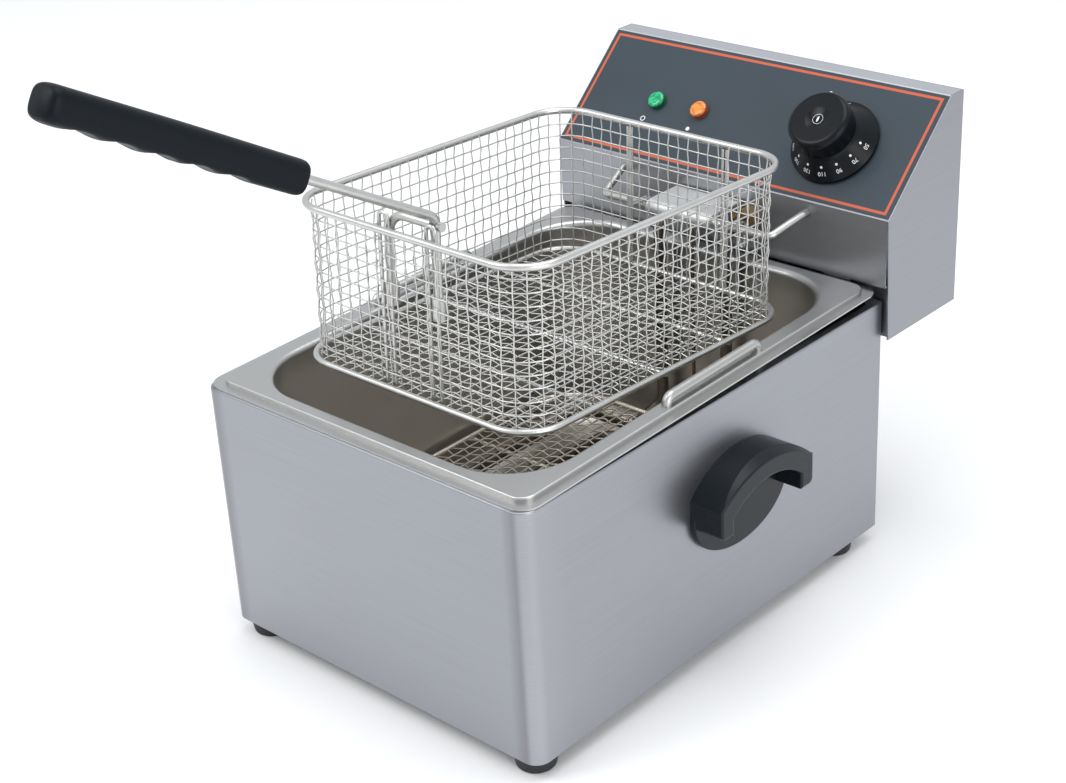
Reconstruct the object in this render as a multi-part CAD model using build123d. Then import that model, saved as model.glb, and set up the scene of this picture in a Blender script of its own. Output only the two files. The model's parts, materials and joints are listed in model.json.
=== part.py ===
from build123d import *
from math import asin, cos, degrees, radians, sin, sqrt, tan
import os

# Countertop electric deep fryer: a sheet steel casing that holds a lift-out oil pan, a lift-off
# control head with the heating element, and a wire basket hung on the head's hanger.
# Millimetres, +Z up. The front faces -Y and the right-hand side is +X. Everything is laid out from
# the middle of the casing at table height, and moved at the end so that the origin is under the
# middle of the whole fryer.

# Casing
SHEET = 1.0
CASING_WIDTH = 265.0
CASING_DEPTH = 345.0
CASING_TOP = 178.0
CASING_CORNER = 10.0
CASING_REAR_CORNER = 3.0
CASING_EDGE = 1.2
TOP_FLANGE = 4.5
BASE_UPSTAND = 14.0
FOOT_HEIGHT = 12.0
FOOT_RADIUS = 14.0
FOOT_TAPER = 2.0
FOOT_INSET_SIDE = 17.0
FOOT_INSET_FRONT = 16.5
FOOT_INSET_REAR = 28.0
FOOT_SCREW_SEAT = 6.0
SCREW_RADIUS = 2.5
SCREW_HEAD_RADIUS = 4.5
SCREW_HEAD_HEIGHT = 3.0
SMALL_SCREW_RADIUS = 1.75
SMALL_SCREW_HEAD_RADIUS = 3.6
SMALL_SCREW_HEAD_HEIGHT = 2.0
HOLE_CLEARANCE = 0.1
VENT_COUNT = 7
VENT_PITCH = 9.0
VENT_LENGTH = 60.0
VENT_HEIGHT = 3.0
BASE_VENT_PITCH = 18.0

# Side handles, on the casing's left and right walls: an oval plate under an arched hood
PLATE_LENGTH = 93.0
PLATE_HEIGHT = 63.0
PLATE_THICKNESS = 4.0
PLATE_CENTRE_Y = 15.5
PLATE_BELOW_TOP = 71.5
HOOD_DEPTH = 24.0
HOOD_LENGTH = 92.0
HOOD_FOOT_DROP = 4.0
HOOD_SHOULDER = 15.5
HOOD_CROWN = 35.5
HOOD_BEVEL_CROWN = 31.5
HOOD_BEVEL_SLOPE = 33.0
HOOD_FOOT_WIDTH = 12.0
HOOD_INNER_SHOULDER = 7.0
HOOD_INNER_CROWN = 19.5
HOOD_WALL = 5.0
HOOD_ROUNDING = 4.0
HOOD_EDGE = 1.6
HANDLE_SCREW_SPACING = 60.0
HANDLE_SCREW_DEPTH = 3.0

# Bracket on the casing's rear wall: a ledge for the pan and two tongues for the head
BRACKET_SHEET = 1.5
BRACKET_SIDE_GAP = 14.5
BRACKET_DROP = 70.0
LEDGE_DEPTH = 8.0
LEDGE_CLEARANCE = 0.3
TONGUE_WIDTH = 20.0
TONGUE_FROM_END = 20.0
TONGUE_RISE = 28.0

# Oil pan: level as drawn, then tipped forward about its front lip
PAN_SHEET = 1.0
PAN_FRONT_INSET = 1.5
PAN_REAR_INSET = 3.5
PAN_CORNER = 12.0
PAN_BAND_CORNER = 10.0
PAN_LIP = 6.0
PAN_BAND_RISE = 3.0
PAN_RIM_SIDE = 17.5
PAN_RIM_ENDS = 15.0
PAN_OPENING_CORNER = 45.0
PAN_FLOOR_HEIGHT = 28.0
PAN_DRAFT = 1.5
PAN_MOUTH_BEND = 3.8
PAN_FLOOR_RADIUS = 26.0
PAN_REAR_RISE = 8.0
DROP_HANDLE_ROD = 6.0
DROP_HANDLE_LENGTH = 94.0
DROP_HANDLE_CENTRE_Y = 8.0
DROP_HANDLE_INSET = 11.5
DROP_HANDLE_BEND = 4.6
DROP_HANDLE_REST_GAP = 0.2
DROP_HANDLE_COLLAR = 4.0
DROP_HANDLE_COLLAR_HEIGHT = 2.0
DROP_HANDLE_STOP_GAP = 0.3
DROP_HANDLE_TRAVEL = 30.0

# Control head
HEAD_OVERHANG_SIDE = 5.3
HEAD_OVERHANG_FRONT = 5.5
HEAD_REACH_REAR = 78.5
HEAD_HANG = 26.0
HEAD_STEP_RISE = 11.5
HEAD_REAR_GAP = 1.8
CHEEK_WRAP = 3.6
FASCIA_RISE = 57.5
FASCIA_LENGTH = 94.0
FASCIA_ANGLE = 42.4
FASCIA_FILM = 0.6
FASCIA_MARGIN = 1.2
SIDE_FLANGE = 10.0
SLOT_CLEARANCE = 1.0
HEAD_VENT_DROP = 24.0
COVER_SCREW_INSET = 12.0

# Controls on the fascia, as distances from the head's sides and down from the fascia's top edge
KNOB_FROM_RIGHT = 61.8
KNOB_DOWN = 50.5
KNOB_SKIRT_RADIUS = 30.3
KNOB_CAP_RADIUS = 21.5
KNOB_HEIGHT = 33.0
KNOB_SKIRT_HEIGHT = 14.0
KNOB_SKIRT_EDGE = 2.0
KNOB_CAP_TAPER = 1.5
KNOB_CAP_ROUNDING = 4.0
KNOB_DIMPLE_RADIUS = 22.0
KNOB_DIMPLE_DEPTH = 1.6
KNOB_GAP = 1.0
KNOB_COVER = 8.0
LAMP_FROM_LEFT = 65.3
LAMP_SPACING = 36.9
LAMP_DOWN = 49.5
LAMP_RADIUS = 6.4
LAMP_PROUD = 5.0
LAMP_ROUNDING = 2.4
LAMP_SHANK_RADIUS = 5.4
LAMP_CLIP_RADIUS = 7.9
LAMP_CLIP_DEPTH = 3.0
LAMP_BODY_DEPTH = 24.0
SHAFT_RADIUS = 3.0
SHAFT_TAIL = 6.0
SHAFT_END_GAP = 0.5
SHAFT_CLEARANCE = 0.05
BUSH_RADIUS = 5.0
BUSH_PROUD = 3.0
BUSH_ROOM = 1.0
THERMOSTAT_SIZE = 36.0
THERMOSTAT_DEPTH = 30.0

# Parts behind the head's covers
BUTTON_RADIUS = 3.5
BUTTON_PROUD = 4.5
BUTTON_TRAVEL = 2.5
BUTTON_ROUNDING = 0.8
BUTTON_BOTTOM_GAP = 0.5
CUTOUT_RADIUS = 12.0
CUTOUT_DEPTH = 22.0
CUTOUT_NOSE_RADIUS = 6.0
CUTOUT_NOSE_PROUD = 2.0
GLAND_RADIUS = 8.0
GLAND_PROUD = 9.0
GLAND_FLANGE = 3.0
GLAND_SHANK_RADIUS = 6.0
GLAND_SHANK_LENGTH = 12.0
GLAND_NUT_RADIUS = 9.0
GLAND_NUT_HEIGHT = 4.0
GLAND_BORE_RADIUS = 4.0
GLAND_ABOVE_BOTTOM = 26.0
TERMINAL_LENGTH = 58.0
TERMINAL_WIDTH = 20.0
TERMINAL_HEIGHT = 16.0
TERMINAL_WAYS = 5
TERMINAL_HOLE_RADIUS = 2.0
TERMINAL_HOLE_DEPTH = 10.0
TERMINAL_FROM_GLAND = 24.0
TERMINAL_FROM_BACK = 46.0
SWITCH_LENGTH = 28.0
SWITCH_HEIGHT = 16.0
SWITCH_REAR = 6.0
SWITCH_GAP = 4.3
PLUNGER_RADIUS = 1.6
PLUNGER_LENGTH = 10.0
PLUNGER_GAP = 0.3
PLUNGER_TRAVEL = 1.2

# Heating element, thermostat bulb and guard
ELEMENT_ROD = 8.0
ELEMENT_ABOVE_FLOOR = 22.0
ELEMENT_SIDE_GAP = 25.0
ELEMENT_INNER_X = 14.0
ELEMENT_LEG_X = 28.0
ELEMENT_LEG_SETBACK = 24.0
ELEMENT_OUTLET_RISE = 35.0
ELEMENT_FRONT_GAP = 30.0
ELEMENT_REAR_SWEEP = 15.0
ELEMENT_LOOP_GAP = 33.0
ELEMENT_KNEE_RISE = 20.0
ELEMENT_KNEE_REACH = 16.0
ELEMENT_TAIL = 18.0
ELEMENT_BEND = 12.0
NUT_FLATS = 15.0
NUT_LENGTH = 7.0
BULB_ROD = 6.0
BULB_LENGTH = 80.0
BULB_SETBACK = 30.0
CAPILLARY_ROD = 2.4
CAPILLARY_BEND = 6.0
CAPILLARY_TAIL = 10.0
GUARD_ABOVE_ELEMENT = 17.0
GUARD_ROD = 4.0
GUARD_SIDE_GAP = 11.0
GUARD_FRONT_GAP = 15.0
GUARD_REAR_GAP = 30.0
GUARD_CORNER = 41.0
GUARD_MESH = 1.6
GUARD_BAR = 3.0
GUARD_BAR_INSET = 1.0
GUARD_BAR_FRONT = 60.0
GUARD_BAR_MIDDLE = 35.0
GUARD_BAR_REAR = 12.0

# Basket hanger on the head's front, with a cover plate rolled round its middle
HANGER_ROD = 5.0
HANGER_HALF = 69.0
HANGER_SPLAY = 7.0
HANGER_REACH = 32.0
HANGER_ABOVE_CASING = 41.5
HANGER_RISE = 8.5
HANGER_STRAIGHT = 4.0
HANGER_TAIL = 14.0
HANGER_BEND = 6.0
ROLL_RADIUS = 5.2
ROLL_LEFT = -29.0
ROLL_RIGHT = 24.0
ROLL_SHEET = 1.2
ROLL_TAIL_GAP = 3.0

# Basket, drawn level about the middle of its top rim, then tipped with its front end up
BASKET_SIDE_GAP = 19.5
BASKET_FRONT_GAP = 34.6
BASKET_REAR_GAP = 30.4
BASKET_HEIGHT = 98.8
BASKET_RIM_ABOVE_CASING = 107.5
BASKET_TILT = 2.4
BASKET_CORNER = 26.5
BASKET_RIM_ROD = 4.5
BASKET_RING_ROD = 4.0
BASKET_WALL = 2.4
BASKET_WALL_INSET = 1.9
FLOOR_BAR_ROD = 3.0
FLOOR_BAR_COUNT = 3
HAIRPIN_ROD = 2.5
HAIRPIN_SPREAD = 7.0
HAIRPIN_RISE = 8.5
HAIRPIN_BEND = 3.2
SOCKET_WALL = 1.5
SOCKET_LENGTH = 12.0
SOCKET_END_GAP = 0.2
HOOK_MIDDLE = 5.0
HOOK_HALF_SPACING = 39.0
HOOK_SPREAD = 3.0
HOOK_ROD = 1.9
HOOK_UPRIGHT = 2.2
HOOK_BEND = 2.0
HOOK_TURN = 1.4
HOOK_CLEARANCE = 2.0
HOOK_TOP_GAP = 0.4
HOOK_TIP_DROP = 14.0

# Basket handle: a rod frame that stands in the basket's hairpins, and a moulded grip
FRAME_ROD = 5.5
FRAME_HALF = 19.0
FRAME_TOP = 12.8
FRAME_LEG = 60.0
FRAME_BEND = 8.0
FRAME_INSET = 9.8
ARCH_DROP = 5.0
ARCH_BEND = 14.0
ARCH_STUB = 3.0
HANDLE_ANGLE = 27.0
HANDLE_ROD_OUT = 110.0
GRIP_LENGTH = 166.0
GRIP_WIDTH = 22.0
GRIP_THICKNESS = 20.0
GRIP_SOCKET = 60.0
GRIP_ROUNDING = 7.0
GRIP_OUTER_ROUNDING = 6.0
GRIP_INNER_ROUNDING = 2.0
GRIP_SCALLOPS = 5
GRIP_SCALLOP_DEPTH = 2.0
GRIP_SCALLOP_PITCH = 24.4
GRIP_OUTER_MARGIN = 10.6

# Places worked out from the sizes above
SIDE = CASING_WIDTH / 2
FRONT = -CASING_DEPTH / 2
REAR = CASING_DEPTH / 2
WALL_INSIDE = REAR - SHEET
PAN_FRONT = FRONT + PAN_FRONT_INSET
PAN_REAR = REAR - PAN_REAR_INSET
PAN_LIP_DEPTH = PAN_REAR - PAN_FRONT
PAN_TILT = degrees(asin(PAN_REAR_RISE / PAN_LIP_DEPTH))
PAN_DEPTH = CASING_TOP - PAN_FLOOR_HEIGHT
BRACKET_HALF = SIDE - BRACKET_SIDE_GAP
TONGUE_X = BRACKET_HALF - TONGUE_FROM_END
TONGUE_TOP = CASING_TOP + TONGUE_RISE
PLATE_CENTRE_Z = CASING_TOP - PLATE_BELOW_TOP
OPENING_SIDE = SIDE - PAN_RIM_SIDE
OPENING_FRONT = PAN_FRONT + PAN_RIM_ENDS
OPENING_REAR = PAN_REAR - PAN_RIM_ENDS
HEAD_SIDE = SIDE + HEAD_OVERHANG_SIDE
HEAD_FRONT = REAR - HEAD_OVERHANG_FRONT
HEAD_REAR = REAR + HEAD_REACH_REAR
HEAD_BOTTOM = CASING_TOP - HEAD_HANG
HEAD_STEP = CASING_TOP + HEAD_STEP_RISE
HEAD_LOWER_FRONT = REAR + HEAD_REAR_GAP
FASCIA_BOTTOM = CASING_TOP + FASCIA_RISE
FASCIA_TOP_Y = HEAD_FRONT + FASCIA_LENGTH * cos(radians(FASCIA_ANGLE))
FASCIA_TOP_Z = FASCIA_BOTTOM + FASCIA_LENGTH * sin(radians(FASCIA_ANGLE))
FASCIA_NORMAL = (0, -sin(radians(FASCIA_ANGLE)), cos(radians(FASCIA_ANGLE)))
FASCIA = Plane(origin=(0, FASCIA_TOP_Y, FASCIA_TOP_Z), x_dir=(1, 0, 0), z_dir=FASCIA_NORMAL)
KNOB_X = HEAD_SIDE - KNOB_FROM_RIGHT
LAMP_XS = (-HEAD_SIDE + LAMP_FROM_LEFT, -HEAD_SIDE + LAMP_FROM_LEFT + LAMP_SPACING)
ELEMENT_OUTLET_Z = CASING_TOP + ELEMENT_OUTLET_RISE
ELEMENT_LEG_Y = HEAD_FRONT - ELEMENT_LEG_SETBACK
ELEMENT_HEIGHT = PAN_FLOOR_HEIGHT + ELEMENT_ABOVE_FLOOR
ELEMENT_SIDE = OPENING_SIDE - ELEMENT_SIDE_GAP
ELEMENT_PITCH = (ELEMENT_SIDE - ELEMENT_INNER_X) / 2
GUARD_HEIGHT = ELEMENT_HEIGHT + GUARD_ABOVE_ELEMENT
GUARD_HALF = OPENING_SIDE - GUARD_SIDE_GAP
HANGER_Y = HEAD_FRONT - HANGER_REACH
HANGER_Z = CASING_TOP + HANGER_ABOVE_CASING
BASKET_RIM_Z = CASING_TOP + BASKET_RIM_ABOVE_CASING
BASKET_HALF = OPENING_SIDE - BASKET_SIDE_GAP
BASKET_FRONT = OPENING_FRONT + BASKET_FRONT_GAP
BASKET_BACK = OPENING_REAR - BASKET_REAR_GAP
BASKET_DEPTH = BASKET_BACK - BASKET_FRONT
BASKET_FRAME = Pos(0, (BASKET_FRONT + BASKET_BACK) / 2, BASKET_RIM_Z) * Rot(-BASKET_TILT, 0, 0)
PAN_FRAME = Pos(0, PAN_FRONT, CASING_TOP) * Rot(PAN_TILT, 0, 0) * Pos(0, -PAN_FRONT, 0)


def block(low, high):
    """A box between two opposite corners."""
    size = [b - a for a, b in zip(low, high)]
    middle = [(a + b) / 2 for a, b in zip(low, high)]
    return Pos(*middle) * Box(*size)


def mirrored(shape):
    """The same piece on the other side of the fryer."""
    return mirror(shape, about=Plane.YZ)


def group(shapes):
    """Separate solids that share one node."""
    return Compound(children=[solid for shape in shapes for solid in shape.solids()])


def rounded_prism(half_x, front, back, corner, low, high):
    """A block with rounded upright corners."""
    outline = RectangleRounded(2 * half_x, back - front, corner)
    return Pos(0, (front + back) / 2, low) * extrude(outline, high - low)


def rod(points, diameter, bends):
    """A round rod along straight runs with rounded bends."""
    path = FilletPolyline(*points, radius=bends) if len(points) > 2 else Line(*points)
    return sweep(Plane(origin=path @ 0, z_dir=path % 0) * Circle(diameter / 2), path=path)


def ring(half_x, front, back, corner, height, diameter):
    """A closed rod ring with rounded corners, lying level."""
    outline = RectangleRounded(2 * half_x, back - front, corner)
    path = (Pos(0, (front + back) / 2, height) * outline).face().outer_wire()
    return sweep(Plane(origin=path @ 0, z_dir=path % 0) * Circle(diameter / 2), path=path)


def offset_points(points, distance):
    """The points of a bent line moved sideways, to the right of its direction, with mitred bends."""
    def normal(a, b):
        length = sqrt((b[0] - a[0]) ** 2 + (b[1] - a[1]) ** 2)
        return (b[1] - a[1]) / length, (a[0] - b[0]) / length

    normals = [normal(a, b) for a, b in zip(points, points[1:])]
    moved = []
    for i, (y, z) in enumerate(points):
        before = normals[max(i - 1, 0)]
        after = normals[min(i, len(normals) - 1)]
        scale = distance / (1 + before[0] * after[0] + before[1] * after[1])
        moved.append((y + (before[0] + after[0]) * scale, z + (before[1] + after[1]) * scale))
    return moved


def side_profile(points, half_x):
    """A prism along X whose outline is given as (y, z) points."""
    outline = make_face(Polyline(*[(0, y, z) for y, z in points], close=True))
    return extrude(outline, amount=half_x, dir=(1, 0, 0), both=True)


def bent_sheet(points, thickness, half_x):
    """A folded sheet with its outer face along (y, z) points, thickening to their right."""
    return side_profile(points + offset_points(points, thickness)[::-1], half_x)


def pin(start, direction, radius, length):
    """A cylinder from a point along a direction."""
    return Plane(origin=start, z_dir=direction) * Cylinder(
        radius, length, align=(Align.CENTER, Align.CENTER, Align.MIN)
    )


def screw(seat, direction, length, head_up):
    """A pan head screw: its head stands on the seat against the direction of its shank."""
    back = tuple(-c for c in direction)
    head = pin(seat, back, SCREW_HEAD_RADIUS, head_up)
    return fillet(head.edges().group_by(SortBy.LENGTH)[-1], head_up / 4) + pin(
        seat, direction, SCREW_RADIUS, length
    )


def on_fascia(x, down, height, shape):
    """Stands a shape on the fascia at a distance from its middle and from its top edge."""
    return FASCIA * Pos(x, -down, height) * shape


def fascia_post(x, down, low, high, radius):
    """A cylinder square to the fascia between two heights."""
    post = Cylinder(radius, high - low, align=(Align.CENTER, Align.CENTER, Align.MIN))
    return on_fascia(x, down, low, post)


def foot_places():
    """The four feet's centres."""
    x = SIDE - FOOT_INSET_SIDE
    return [
        (name, sx * x, y)
        for name, y in (("front", FRONT + FOOT_INSET_FRONT), ("rear", REAR - FOOT_INSET_REAR))
        for sx, name in ((-1, name + "_left"), (1, name + "_right"))
    ]


def handle_screw_places():
    """The side handle screws' places along the casing wall."""
    return [PLATE_CENTRE_Y + s * HANDLE_SCREW_SPACING / 2 for s in (-1, 1)]


def casing_prism(inset, low, high):
    """A block with the casing's outline, shrunk all round; its rear corners are the sharper ones."""
    outline = Rectangle(CASING_WIDTH - 2 * inset, CASING_DEPTH - 2 * inset)
    outline = fillet(outline.vertices().sort_by(Axis.Y)[:2], CASING_CORNER - inset)
    outline = fillet(outline.vertices().sort_by(Axis.Y)[-2:], CASING_REAR_CORNER - inset)
    return Pos(0, 0, low) * extrude(outline, high - low)


def casing_shell():
    """The four-sided wrap with an inward flange along its top edge."""
    outside = casing_prism(0, FOOT_HEIGHT, CASING_TOP)
    outside = fillet(outside.edges().group_by(Axis.Z)[-1], CASING_EDGE)
    inside = casing_prism(SHEET, FOOT_HEIGHT, CASING_TOP - SHEET)
    mouth = rounded_prism(
        SIDE - SHEET - TOP_FLANGE,
        FRONT + SHEET + TOP_FLANGE,
        WALL_INSIDE - TOP_FLANGE,
        CASING_CORNER,
        CASING_TOP - SHEET,
        CASING_TOP,
    )
    notch_half = BRACKET_HALF + SLOT_CLEARANCE
    notch = block(
        (-notch_half, WALL_INSIDE - TOP_FLANGE - SHEET, CASING_TOP - SHEET),
        (notch_half, WALL_INSIDE, CASING_TOP),
    )
    shell = outside - inside - mouth - notch
    for y in handle_screw_places():
        shell -= pin((-SIDE, y, PLATE_CENTRE_Z), (1, 0, 0), SCREW_RADIUS + HOLE_CLEARANCE, CASING_WIDTH)
    return shell


def casing_base():
    """The tray that closes the casing underneath and carries the feet."""
    floor_top = FOOT_HEIGHT + SHEET
    upstand_top = FOOT_HEIGHT + BASE_UPSTAND
    tray = casing_prism(SHEET, FOOT_HEIGHT, upstand_top) - casing_prism(2 * SHEET, floor_top, upstand_top)
    for _, x, y in foot_places():
        tray -= pin((x, y, 0), (0, 0, 1), SCREW_RADIUS + HOLE_CLEARANCE, CASING_TOP / 2)
    for row in range(VENT_COUNT):
        y = (row - (VENT_COUNT - 1) / 2) * BASE_VENT_PITCH
        tray -= block(
            (-VENT_LENGTH / 2, y - VENT_HEIGHT / 2, FOOT_HEIGHT),
            (VENT_LENGTH / 2, y + VENT_HEIGHT / 2, floor_top),
        )
    return tray


def foot(x, y):
    """A tapered rubber foot with a recess for its screw."""
    body = Pos(x, y, 0) * Cone(
        FOOT_RADIUS - FOOT_TAPER, FOOT_RADIUS, FOOT_HEIGHT, align=(Align.CENTER, Align.CENTER, Align.MIN)
    )
    body = fillet(body.edges().sort_by(Axis.Z)[0], FOOT_TAPER)
    body -= pin((x, y, 0), (0, 0, 1), SCREW_HEAD_RADIUS + SLOT_CLEARANCE / 2, FOOT_SCREW_SEAT)
    return body - pin((x, y, 0), (0, 0, 1), SCREW_RADIUS + HOLE_CLEARANCE, FOOT_HEIGHT)


def foot_screws():
    """Four screws up through the feet, each with its nut inside the base."""
    seat = FOOT_SCREW_SEAT
    floor_top = FOOT_HEIGHT + SHEET
    nut_height = SCREW_HEAD_HEIGHT
    shapes = []
    for _, x, y in foot_places():
        body = screw((x, y, seat), (0, 0, 1), floor_top + nut_height + SHEET - seat, SCREW_HEAD_HEIGHT)
        nut = extrude(RegularPolygon(SCREW_HEAD_RADIUS, 6), nut_height)
        shapes.append(body + Pos(x, y, floor_top) * nut)
    return group(shapes)


def on_wall(distance):
    """A plane parallel to the right-hand wall, its origin in front of the side handle's middle."""
    origin = (SIDE + distance, PLATE_CENTRE_Y, PLATE_CENTRE_Z)
    return Plane(origin=origin, x_dir=(0, 1, 0), z_dir=(1, 0, 0))


def arch(half, low, shoulder, crown):
    """An arch outline: upright sides from low to the shoulder, then an arc over the crown."""
    sides = Polyline((-half, shoulder), (-half, low), (half, low), (half, shoulder))
    top = ThreePointArc((half, shoulder), (0, crown), (-half, shoulder))
    return make_face((sides + top).edges())


def side_handle():
    """An oval plate with an arched hood over it, open underneath and hollow for the fingers."""
    plate = on_wall(0) * extrude(Ellipse(PLATE_LENGTH / 2, PLATE_HEIGHT / 2), PLATE_THICKNESS)
    plate = fillet(plate.edges().sort_by(Axis.X)[-1], PLATE_THICKNESS / 4)
    outline = arch(HOOD_LENGTH / 2, -HOOD_FOOT_DROP, HOOD_SHOULDER, HOOD_CROWN)
    outline = fillet(outline.vertices().group_by(Axis.Y)[0], HOOD_ROUNDING)
    hood = on_wall(0) * extrude(outline, HOOD_DEPTH)
    bevel = on_wall(HOOD_DEPTH) * arch(HOOD_LENGTH / 2, -PLATE_HEIGHT, HOOD_SHOULDER, HOOD_BEVEL_CROWN)
    slope = radians(HOOD_BEVEL_SLOPE)
    hood &= extrude(bevel, amount=2 * HOOD_DEPTH, dir=(-cos(slope), 0, sin(slope)))
    opening = HOOD_LENGTH / 2 - HOOD_FOOT_WIDTH
    lift = HOOD_CROWN - HOOD_WALL - HOOD_INNER_CROWN
    under = arch(opening, -PLATE_HEIGHT, HOOD_INNER_SHOULDER, HOOD_INNER_CROWN)
    pocket = arch(opening, -PLATE_HEIGHT, HOOD_INNER_SHOULDER + lift, HOOD_CROWN - HOOD_WALL)
    hood -= on_wall(PLATE_THICKNESS) * extrude(under, HOOD_DEPTH)
    hood -= on_wall(PLATE_THICKNESS) * extrude(pocket, HOOD_DEPTH - PLATE_THICKNESS - HOOD_WALL)
    hood = fillet(hood.faces().sort_by(Axis.X)[-1].edges(), HOOD_EDGE)
    handle = plate + hood
    for y in handle_screw_places():
        handle -= pin((SIDE, y, PLATE_CENTRE_Z), (1, 0, 0), SCREW_RADIUS, HANDLE_SCREW_DEPTH)
    return handle


def side_handle_screws():
    """Screws from inside the casing into the handle plates."""
    seat = SIDE - SHEET
    right = [
        screw((seat, y, PLATE_CENTRE_Z), (1, 0, 0), SHEET + HANDLE_SCREW_DEPTH, SCREW_HEAD_HEIGHT / 2)
        for y in handle_screw_places()
    ]
    return group(right + [mirrored(s) for s in right])


def head_bracket():
    """A folded strip inside the casing's rear wall: the pan's ledge and the head's two tongues."""
    web_front = WALL_INSIDE - BRACKET_SHEET
    lip_under = CASING_TOP + (WALL_INSIDE - LEDGE_DEPTH - PAN_FRONT) * tan(radians(PAN_TILT))
    ledge_top = lip_under - LEDGE_CLEARANCE
    ledge_low = ledge_top - BRACKET_SHEET
    strip = block(
        (-BRACKET_HALF, web_front, CASING_TOP - BRACKET_DROP), (BRACKET_HALF, WALL_INSIDE, ledge_top)
    )
    strip += block(
        (-BRACKET_HALF, WALL_INSIDE - LEDGE_DEPTH, ledge_low), (BRACKET_HALF, WALL_INSIDE, ledge_top)
    )
    for side in (-1, 1):
        low_x = side * TONGUE_X - TONGUE_WIDTH / 2
        strip += block((low_x, web_front, ledge_low), (low_x + TONGUE_WIDTH, WALL_INSIDE, TONGUE_TOP))
    return strip


def opening_prism(shrink, top, depth, floor_radius):
    """The tapered tub shape of the pan, its top at a height above the pan's lip."""
    half = OPENING_SIDE - shrink
    length = OPENING_REAR - OPENING_FRONT - 2 * shrink
    outline = RectangleRounded(2 * half, length, PAN_OPENING_CORNER - shrink)
    middle = (OPENING_FRONT + OPENING_REAR) / 2
    tub = extrude(Plane(origin=(0, middle, top), z_dir=(0, 0, -1)) * outline, depth, taper=PAN_DRAFT)
    return fillet(tub.faces().sort_by(Axis.Z)[0].edges(), floor_radius)


def level_pan():
    """A drawn steel pan with a stepped flange round its mouth, its lip's underside at height 0."""
    band_top = PAN_BAND_RISE + PAN_SHEET
    lip = rounded_prism(SIDE, PAN_FRONT, PAN_REAR, PAN_CORNER, 0, PAN_SHEET)
    band = rounded_prism(
        SIDE - PAN_LIP, PAN_FRONT + PAN_LIP, PAN_REAR - PAN_LIP, PAN_BAND_CORNER, 0, band_top
    )
    band = fillet(band.edges().group_by(Axis.Z)[-1], PAN_SHEET)
    outer = opening_prism(0, PAN_BAND_RISE, PAN_DEPTH + PAN_BAND_RISE, PAN_FLOOR_RADIUS)
    inset = PAN_LIP + PAN_SHEET
    hollow = rounded_prism(
        SIDE - inset, PAN_FRONT + inset, PAN_REAR - inset, PAN_BAND_CORNER - PAN_SHEET, 0, PAN_BAND_RISE
    )
    hollow -= outer
    under_mouth = [e for e in hollow.edges().group_by(Axis.Z)[-1] if inside_rim(e)]
    hollow = fillet(under_mouth, PAN_MOUTH_BEND - PAN_SHEET)
    inner = opening_prism(PAN_SHEET, band_top, PAN_DEPTH + PAN_BAND_RISE, PAN_FLOOR_RADIUS - PAN_SHEET)
    pan = lip + band + outer - hollow - inner
    mouth = [e for e in pan.edges().group_by(Axis.Z)[-1] if inside_rim(e)]
    return fillet(mouth, PAN_MOUTH_BEND)


def inside_rim(edge):
    """Whether an edge of the pan lies round its opening and not round its flange."""
    point = edge.center()
    return OPENING_FRONT - 1 < point.Y < OPENING_REAR + 1 and abs(point.X) < OPENING_SIDE + 1


def drop_handle_x():
    """How far from the middle the drop handles stand on the flange."""
    return SIDE - DROP_HANDLE_INSET


def drop_handle_ends():
    """The two leg places of a drop handle along Y."""
    return [DROP_HANDLE_CENTRE_Y + s * (DROP_HANDLE_LENGTH - DROP_HANDLE_ROD) / 2 for s in (-1, 1)]


def oil_pan():
    """The pan with the drop handles' holes, tipped into its place."""
    pan = level_pan()
    for side in (-1, 1):
        for y in drop_handle_ends():
            pan -= pin(
                (side * drop_handle_x(), y, -PAN_SHEET),
                (0, 0, 1),
                DROP_HANDLE_ROD / 2 + SHAFT_CLEARANCE,
                PAN_BAND_RISE + 3 * PAN_SHEET,
            )
    return PAN_FRAME * pan


def drop_handle():
    """A lifting bar that lies on the flange, its legs through the flange and stopped by collars."""
    x = drop_handle_x()
    low_y, high_y = drop_handle_ends()
    bar_z = PAN_BAND_RISE + PAN_SHEET + DROP_HANDLE_BEND + DROP_HANDLE_REST_GAP
    collar_top = PAN_BAND_RISE - DROP_HANDLE_STOP_GAP - DROP_HANDLE_TRAVEL
    leg_end = collar_top - DROP_HANDLE_COLLAR_HEIGHT
    path = [(x, low_y, leg_end), (x, low_y, bar_z), (x, high_y, bar_z), (x, high_y, leg_end)]
    bar = rod(path, DROP_HANDLE_ROD, DROP_HANDLE_BEND)
    for y in (low_y, high_y):
        bar += pin((x, y, leg_end), (0, 0, 1), DROP_HANDLE_COLLAR, DROP_HANDLE_COLLAR_HEIGHT)
    return PAN_FRAME * bar


def head_outline():
    """The control head's cross-section, from the bottom front corner up and over to the top rear."""
    return [
        (HEAD_LOWER_FRONT, HEAD_BOTTOM),
        (HEAD_LOWER_FRONT, HEAD_STEP),
        (HEAD_FRONT, HEAD_STEP),
        (HEAD_FRONT, FASCIA_BOTTOM),
        (FASCIA_TOP_Y, FASCIA_TOP_Z),
        (HEAD_REAR - SHEET, FASCIA_TOP_Z),
    ]


def element_outlets():
    """Where the element's legs leave the head's front."""
    return [(s * ELEMENT_LEG_X, HEAD_FRONT, ELEMENT_OUTLET_Z) for s in (-1, 1)]


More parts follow.
